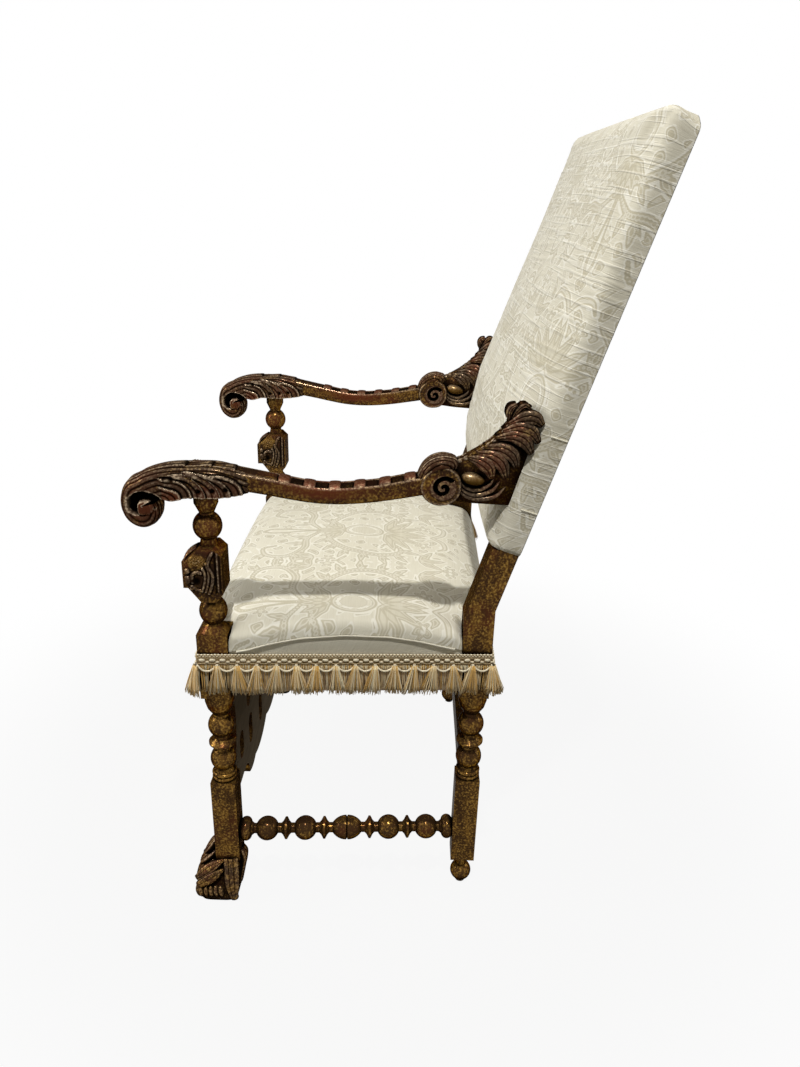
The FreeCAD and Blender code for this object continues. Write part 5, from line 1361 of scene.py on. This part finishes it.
def make_piping():
    """Piped seams: the curve on each side of the seat, and two seams round each side of the back."""
    shape = Shape()
    for side in (1, -1):
        y = np.linspace(34, 346, 24)
        line = np.column_stack([side * (seat_side(y) + PIPING_OUT), y, seam_height(y)])
        shape.add(*round_strip(line, PIPING_RADIUS, 200, 8))
        for rise in SIDE_SEAMS:
            depth = np.linspace(-4, BACK_REAR, 6)
            x = np.full_like(depth, side * (BACK_HALF + 0.4))
            line = back_to_chair(x, depth, np.full_like(depth, rise))
            shape.add(*round_strip(line, BACK_PIPING_RADIUS, 24, 8))
    shape.make("seam_piping", DAMASK, "damask")


# Braid and fringe run round the seat over the posts
TRIM_CORNERS = ((309.6, -22.4), (283.2, 400.9))
TASSEL_PITCH = 28.8
BAND_LOW = 431.5
BAND_HIGH = 449.0
CORD_HEIGHTS = (443.4, 434.2)
# Small beads in two rows along the top edge, and ovals with smaller ones between them along the middle
EDGE_BEADS = (448.6, 445.8)
EDGE_PITCH = 4.8
OVALS = (440.2, 437.0)
LOOP_HEIGHT = 433.5
# Heights where the threads of the tassels and of the skirt behind them start, and between which they end
TASSEL_HEIGHTS = (432.5, 386.0, 395.0)
SKIRT_HEIGHTS = (433, 387, 396)
TASSEL_THREADS = 80
CORNER_THREADS = 70
CORNER_FLARE = 6.0
SKIRT_PITCH = 1.7
THREAD_RADIUS = 0.55


def trim_sides():
    (xf, yf), (xr, yr) = TRIM_CORNERS
    corners = [(-xf, yf), (xf, yf), (xr, yr), (-xr, yr)]
    for start, end in zip(corners, corners[1:] + corners[:1]):
        start, end = np.array(start), np.array(end)
        length = np.linalg.norm(end - start)
        run = (end - start) / length
        yield start, run, np.array([run[1], -run[0]]), length


def trim_path(spacing, offset):
    """Places along the trim: point on the plan, outward direction, direction of travel and spacing."""
    places = []
    for start, run, out, length in trim_sides():
        number = round(length / spacing)
        for k in range(number):
            spot = start + run * length * (k + 0.5) / number + out * offset
            places.append((spot, out, run, length / number))
    return places


def bead(shape, centre, run, out, radii, tint, rows=6, cols=8):
    """A small oval bead of thread: radii along the run, upwards and outwards."""
    along, up, away = egg_grid(radii, rows, cols)
    plan = [along * run[i] + away * out[i] for i in range(2)]
    shape.add(np.array(centre) + np.stack([*plan, up], axis=2), tube_faces(rows, cols), tint=tint)


def make_gimp():
    shape = Shape()
    for start, run, out, length in trim_sides():
        # The band, then two twisted cords along it
        ends = [start - run * 0.9, start + run * (length + 0.9)]
        section = ((0, BAND_LOW), (0.9, BAND_LOW), (0.9, BAND_HIGH), (0, BAND_HIGH))
        box = [(*(end + out * grow), z) for end in ends for grow, z in section]
        shape.add(box, tube_faces(2, 4), tint=0.95)
        count = round(length / 1.1)
        line = start + run * np.linspace(0, length, count)[:, None] + out * 1.4
        twist = 0.85 * (1 + 0.35 * ridge(np.arange(count) / 3.0, 1.0))
        for z in CORD_HEIGHTS:
            cord = np.column_stack([line, np.full(count, z)])[::12]
            shape.add(*round_strip(cord, twist, count, 6), tint=0.7)
    for spot, out, run, _ in trim_path(EDGE_PITCH, 1.4):
        bead(shape, (*spot, EDGE_BEADS[0]), run, out, (2.0, 1.5, 1.4), 0.15, 5, 6)
        bead(shape, (*(spot + run * EDGE_PITCH / 2), EDGE_BEADS[1]), run, out, (2.1, 1.3, 1.3), 0.45, 5, 6)
    for spot, out, run, _ in trim_path(TASSEL_PITCH / 2, 1.6):
        bead(shape, (*spot, OVALS[0]), run, out, (4.4, 2.8, 2.2), 0.0)
        bead(shape, (*(spot + run * TASSEL_PITCH / 4), OVALS[1]), run, out, (3.2, 1.9, 1.8), 0.3)
    # Loops of cord hang between the tassels
    for spot, out, run, pitch in trim_path(TASSEL_PITCH, 3.2):
        t = np.linspace(-1, 1, 9)
        plan = spot + run * (t * pitch / 2)[:, None] + out * (1.5 * (1 - t * t))[:, None]
        line = np.column_stack([plan, LOOP_HEIGHT - 10.0 * (1 - np.abs(t) ** 2.2)])
        shape.add(*round_strip(line, 1.45, 18, 6), tint=0.12)
    braid = shape.make("braid", BRAID, "gimp")
    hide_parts("gimp_front", "gimp_left", "gimp_right", "gimp_rear")


def strands(shape, roots, tips, swing, tints):
    """Cut threads from roots to tips; swing bows them outwards on the way."""
    along, sides = 6, 4
    t = np.linspace(0, 1, along)[None, :, None]
    line = roots[:, None] * (1 - t) + tips[:, None] * t + swing[:, None] * np.sin(math.pi * t * 0.6)
    angle = circle(sides)
    ring = np.stack([np.cos(angle), np.sin(angle), np.zeros(sides)], axis=1) * THREAD_RADIUS
    points = line[:, :, None] + ring[None, None]
    size = along * sides
    one = tube_faces(along, sides)
    faces = [tuple(i + k * size for i in face) for k in range(len(roots)) for face in one]
    shape.add(points, faces, tint=np.repeat(tints, size))


def make_fringe():
    pick = random.Random(SEED)
    shape = Shape()
    threads = []
    top, *ends = TASSEL_HEIGHTS
    skirt_top, *skirt_ends = SKIRT_HEIGHTS

    def tassel(head, run, out, count, lean, flare):
        """A bunch of threads, narrow above and spread below."""
        for _ in range(count):
            place, depth = pick.uniform(-1, 1), pick.uniform(0, 1)
            root = head + run * place * 3.2 + out * (1.0 + 2.2 * depth)
            tip = head + run * (place * 13 + lean + pick.uniform(-2, 2)) + out * (0.5 + 5.5 * depth + flare)
            tint = min(1.0, max(0.0, pick.gauss(0.52, 0.34)))
            end = pick.uniform(*ends)
            threads.append(((*root, top), (*tip, end), (*(out * (1 + 2 * depth)), 0), tint))

    # A thin skirt of threads behind the tassels
    for spot, out, run, _ in trim_path(SKIRT_PITCH, 0.8):
        tip = spot + run * pick.uniform(-3, 3) + out * pick.uniform(1.0, 3.5)
        end = pick.uniform(*skirt_ends)
        threads.append(((*spot, skirt_top), (*tip, end), (*out, 0), pick.uniform(0.0, 0.9)))
    for spot, out, run, pitch in trim_path(TASSEL_PITCH, 2.0):
        tassel(spot + run * pitch / 2, run, out, TASSEL_THREADS, pick.uniform(-6, 6), 0.0)
    for start, run, out, _ in trim_sides():
        corner = (out - run) / math.sqrt(2)
        across = np.array([-corner[1], corner[0]])
        tassel(start + corner * 1.5, across, corner, CORNER_THREADS, 0.0, CORNER_FLARE)
    roots, tips, swing, tints = (np.array(column, float) for column in zip(*threads))
    strands(shape, roots, tips, swing, tints)
    fringe = shape.make("tassel_fringe", FRINGE, "fringe")
    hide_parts("fringe_front", "fringe_left", "fringe_right", "fringe_rear")


# Underside of the seat
def in_millimetres(box):
    """Corners of a box in millimetres, from the front posts' axis."""
    return [np.array(corner) * 1000 - np.array([0, FRONT_POST_Y, 0]) for corner in box]


WEB_WIDTH = 52.0
WEB_THICK = 1.1
WEB_WAVE = 0.9


def strap(shape, line, across):
    across = np.asarray(across, float) * WEB_WIDTH / 2
    up = np.array([0, 0, WEB_THICK])
    ring = np.stack([line - across, line + across, line + across + up, line - across + up], axis=1)
    shape.add(ring, tube_faces(len(line), 4))


def make_webbing():
    """Straps of webbing woven over and under each other below the hessian."""
    low, high = in_millimetres(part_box("seat_webbing"))
    shape = Shape()
    reach = REAR_HALF - SEAT_BLOCK - WEB_WIDTH / 2
    depth = POST_SPACING / 2 - SEAT_BLOCK - WEB_WIDTH / 2
    long_x = np.linspace(-0.8, 0.8, 5) * reach
    cross_y = POST_SPACING / 2 + np.linspace(-0.75, 0.75, 4) * depth
    level = low[2] + 1.7

    def wave(run, crossed, rank):
        """Over one crossed strap and under the next; its neighbour starts the other way."""
        return WEB_WAVE * np.cos(math.pi * ((run - crossed[0]) / (crossed[1] - crossed[0]) + rank))

    run = np.linspace(low[1], high[1], 120)
    for rank, x in enumerate(long_x):
        strap(shape, np.column_stack([np.full_like(run, x), run, level + wave(run, cross_y, rank)]), (1, 0, 0))
    for rank, y in enumerate(cross_y):
        half = seat_side(y + WEB_WIDTH / 2) - 12
        run = np.linspace(-half, half, 140)
        strap(shape, np.column_stack([run, np.full_like(run, y), level - wave(run, long_x, rank)]), (0, 1, 0))
    webbing = shape.make("woven_webbing", WEBBING, "webbing")
    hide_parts("seat_webbing")


def make_hessian():
    low, high = in_millimetres(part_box("seat_hessian"))
    shape = Shape()
    rows, cols = 40, 56
    y = np.linspace(low[1] + 2, high[1] - 2, rows)
    half = np.where(y > REAR_NOTCH[1], REAR_NOTCH[0], seat_side(y) - 4)
    half = np.where(y < FRONT_NOTCH[1], FRONT_NOTCH[0], half)
    x = half[:, None] * np.linspace(-1, 1, cols)
    z = high[2] - 0.2 + 0.2 * np.sin(x / 19.0) * np.sin(y[:, None] / 17.0)
    points = np.stack([x, np.repeat(y[:, None], cols, axis=1), z], axis=2)
    shape.add(points, grid_faces(rows, cols, wrap=False))
    hessian = shape.make("hessian_sheet", HESSIAN, "hessian")
    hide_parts("seat_hessian")


# Camera, light and floor
CAMERA_PLACE = (1300.859, 271.555, 1057.260)
CAMERA_PITCH = math.radians(22.602)
CAMERA_YAW = math.radians(0.544)
CAMERA_ROLL = math.radians(1.614)
FOCAL_PIXELS = 809.915
PICTURE_HEIGHT = 1067
SENSOR = 36.0
AMBIENT = 0.10
WARM = (1.0, 0.93, 0.80)
WHITE = (1, 1, 1)
FLOOR_REACH = 14.0
FLOOR_GREY = (0.22, 0.213, 0.19)
# Lights: name, place, what they point at, size in metres and power in watts
LIGHTS = (
    ("overhead", (1.66, -0.05, 4.35), (0.15, -0.05, 0.5), 0.19, 116),
    ("front_fill", (0.35, -2.5, 1.8), (0.0, 0.1, 0.7), 1.2, 36),
    ("rear_fill", (0.0, 2.8, 1.5), (0.0, 0.3, 0.7), 1.2, 12),
    ("side_fill", (2.5, 0.2, 1.6), (0.2, 0.0, 0.5), 0.08, 0.9),
)


def add_camera():
    data = bpy.data.cameras.new("camera")
    data.sensor_width = SENSOR
    data.lens = FOCAL_PIXELS * SENSOR / PICTURE_HEIGHT
    camera = add_object("camera", data)
    turn = Matrix.Rotation(CAMERA_YAW, 3, "Z")
    forward = turn @ Vector((-math.cos(CAMERA_PITCH), 0, -math.sin(CAMERA_PITCH)))
    up = turn @ Vector((-math.sin(CAMERA_PITCH), 0, math.cos(CAMERA_PITCH)))
    right = turn @ Vector((0, 1, 0))
    tilted_right = math.cos(CAMERA_ROLL) * right + math.sin(CAMERA_ROLL) * up
    tilted_up = -math.sin(CAMERA_ROLL) * right + math.cos(CAMERA_ROLL) * up
    matrix = Matrix((tilted_right, tilted_up, -forward)).transposed().to_4x4()
    matrix.translation = Vector(to_metres(np.array(CAMERA_PLACE)))
    camera.matrix_world = matrix
    bpy.context.scene.camera = camera


def add_light(name, place, target, size, power):
    data = bpy.data.lights.new(name, "AREA")
    data.shape = "DISK"
    data.size = size
    data.energy = power
    lamp = add_object(name, data)
    lamp.location = place
    lamp.rotation_euler = (Vector(target) - Vector(place)).to_track_quat("-Z", "Y").to_euler()


def add_world():
    """Warm and weak as light, white where it is seen."""
    world = bpy.data.worlds.new("studio")
    n = Nodes(world, "Background")
    seen = n.seen_directly()
    n.set("Color", n.mix(seen, WARM, WHITE))
    n.set("Strength", n.band(seen, 0.0, 1.0, AMBIENT, 1.0))
    bpy.context.scene.world = world


def add_floor():
    """Pale floor that keeps the chair's shadow and turns white further out."""
    mesh = bpy.data.meshes.new("floor")
    corners = [(x * FLOOR_REACH, y * FLOOR_REACH, 0) for x, y in ((-1, -1), (1, -1), (1, 1), (-1, 1))]
    mesh.from_pydata(corners, [], [(0, 1, 2, 3)])
    floor = add_object("floor", mesh)
    n = Nodes(bpy.data.materials.new("pale_floor"))
    n.set("Base Color", FLOOR_GREY)
    n.set("Roughness", 0.9)
    n.set("Specular IOR Level", 0.1)
    distance = n.new("VectorMath", "Value", {0: n.coords("object")}, operation="LENGTH")
    white = n.times(n.seen_directly(), n.band(distance, 0.5, 1.2, 0.92, 1.0))
    glow = n.new("Emission", 0)
    shown = n.new("MixShader", 0, {"Fac": white, 1: n.shader.outputs[0], 2: glow})
    n.put(n.tree.nodes["Material Output"].inputs["Surface"], shown)
    mesh.materials.append(n.owner)


dress_solids()
make_arms()
make_arm_supports()
make_feet()
make_back()
make_outside_back()
make_seat()
make_piping()
make_gimp()
make_fringe()
make_webbing()
make_hessian()
add_camera()
add_world()
for light in LIGHTS:
    add_light(*light)
add_floor()
bpy.context.scene.view_settings.view_transform = "Standard"
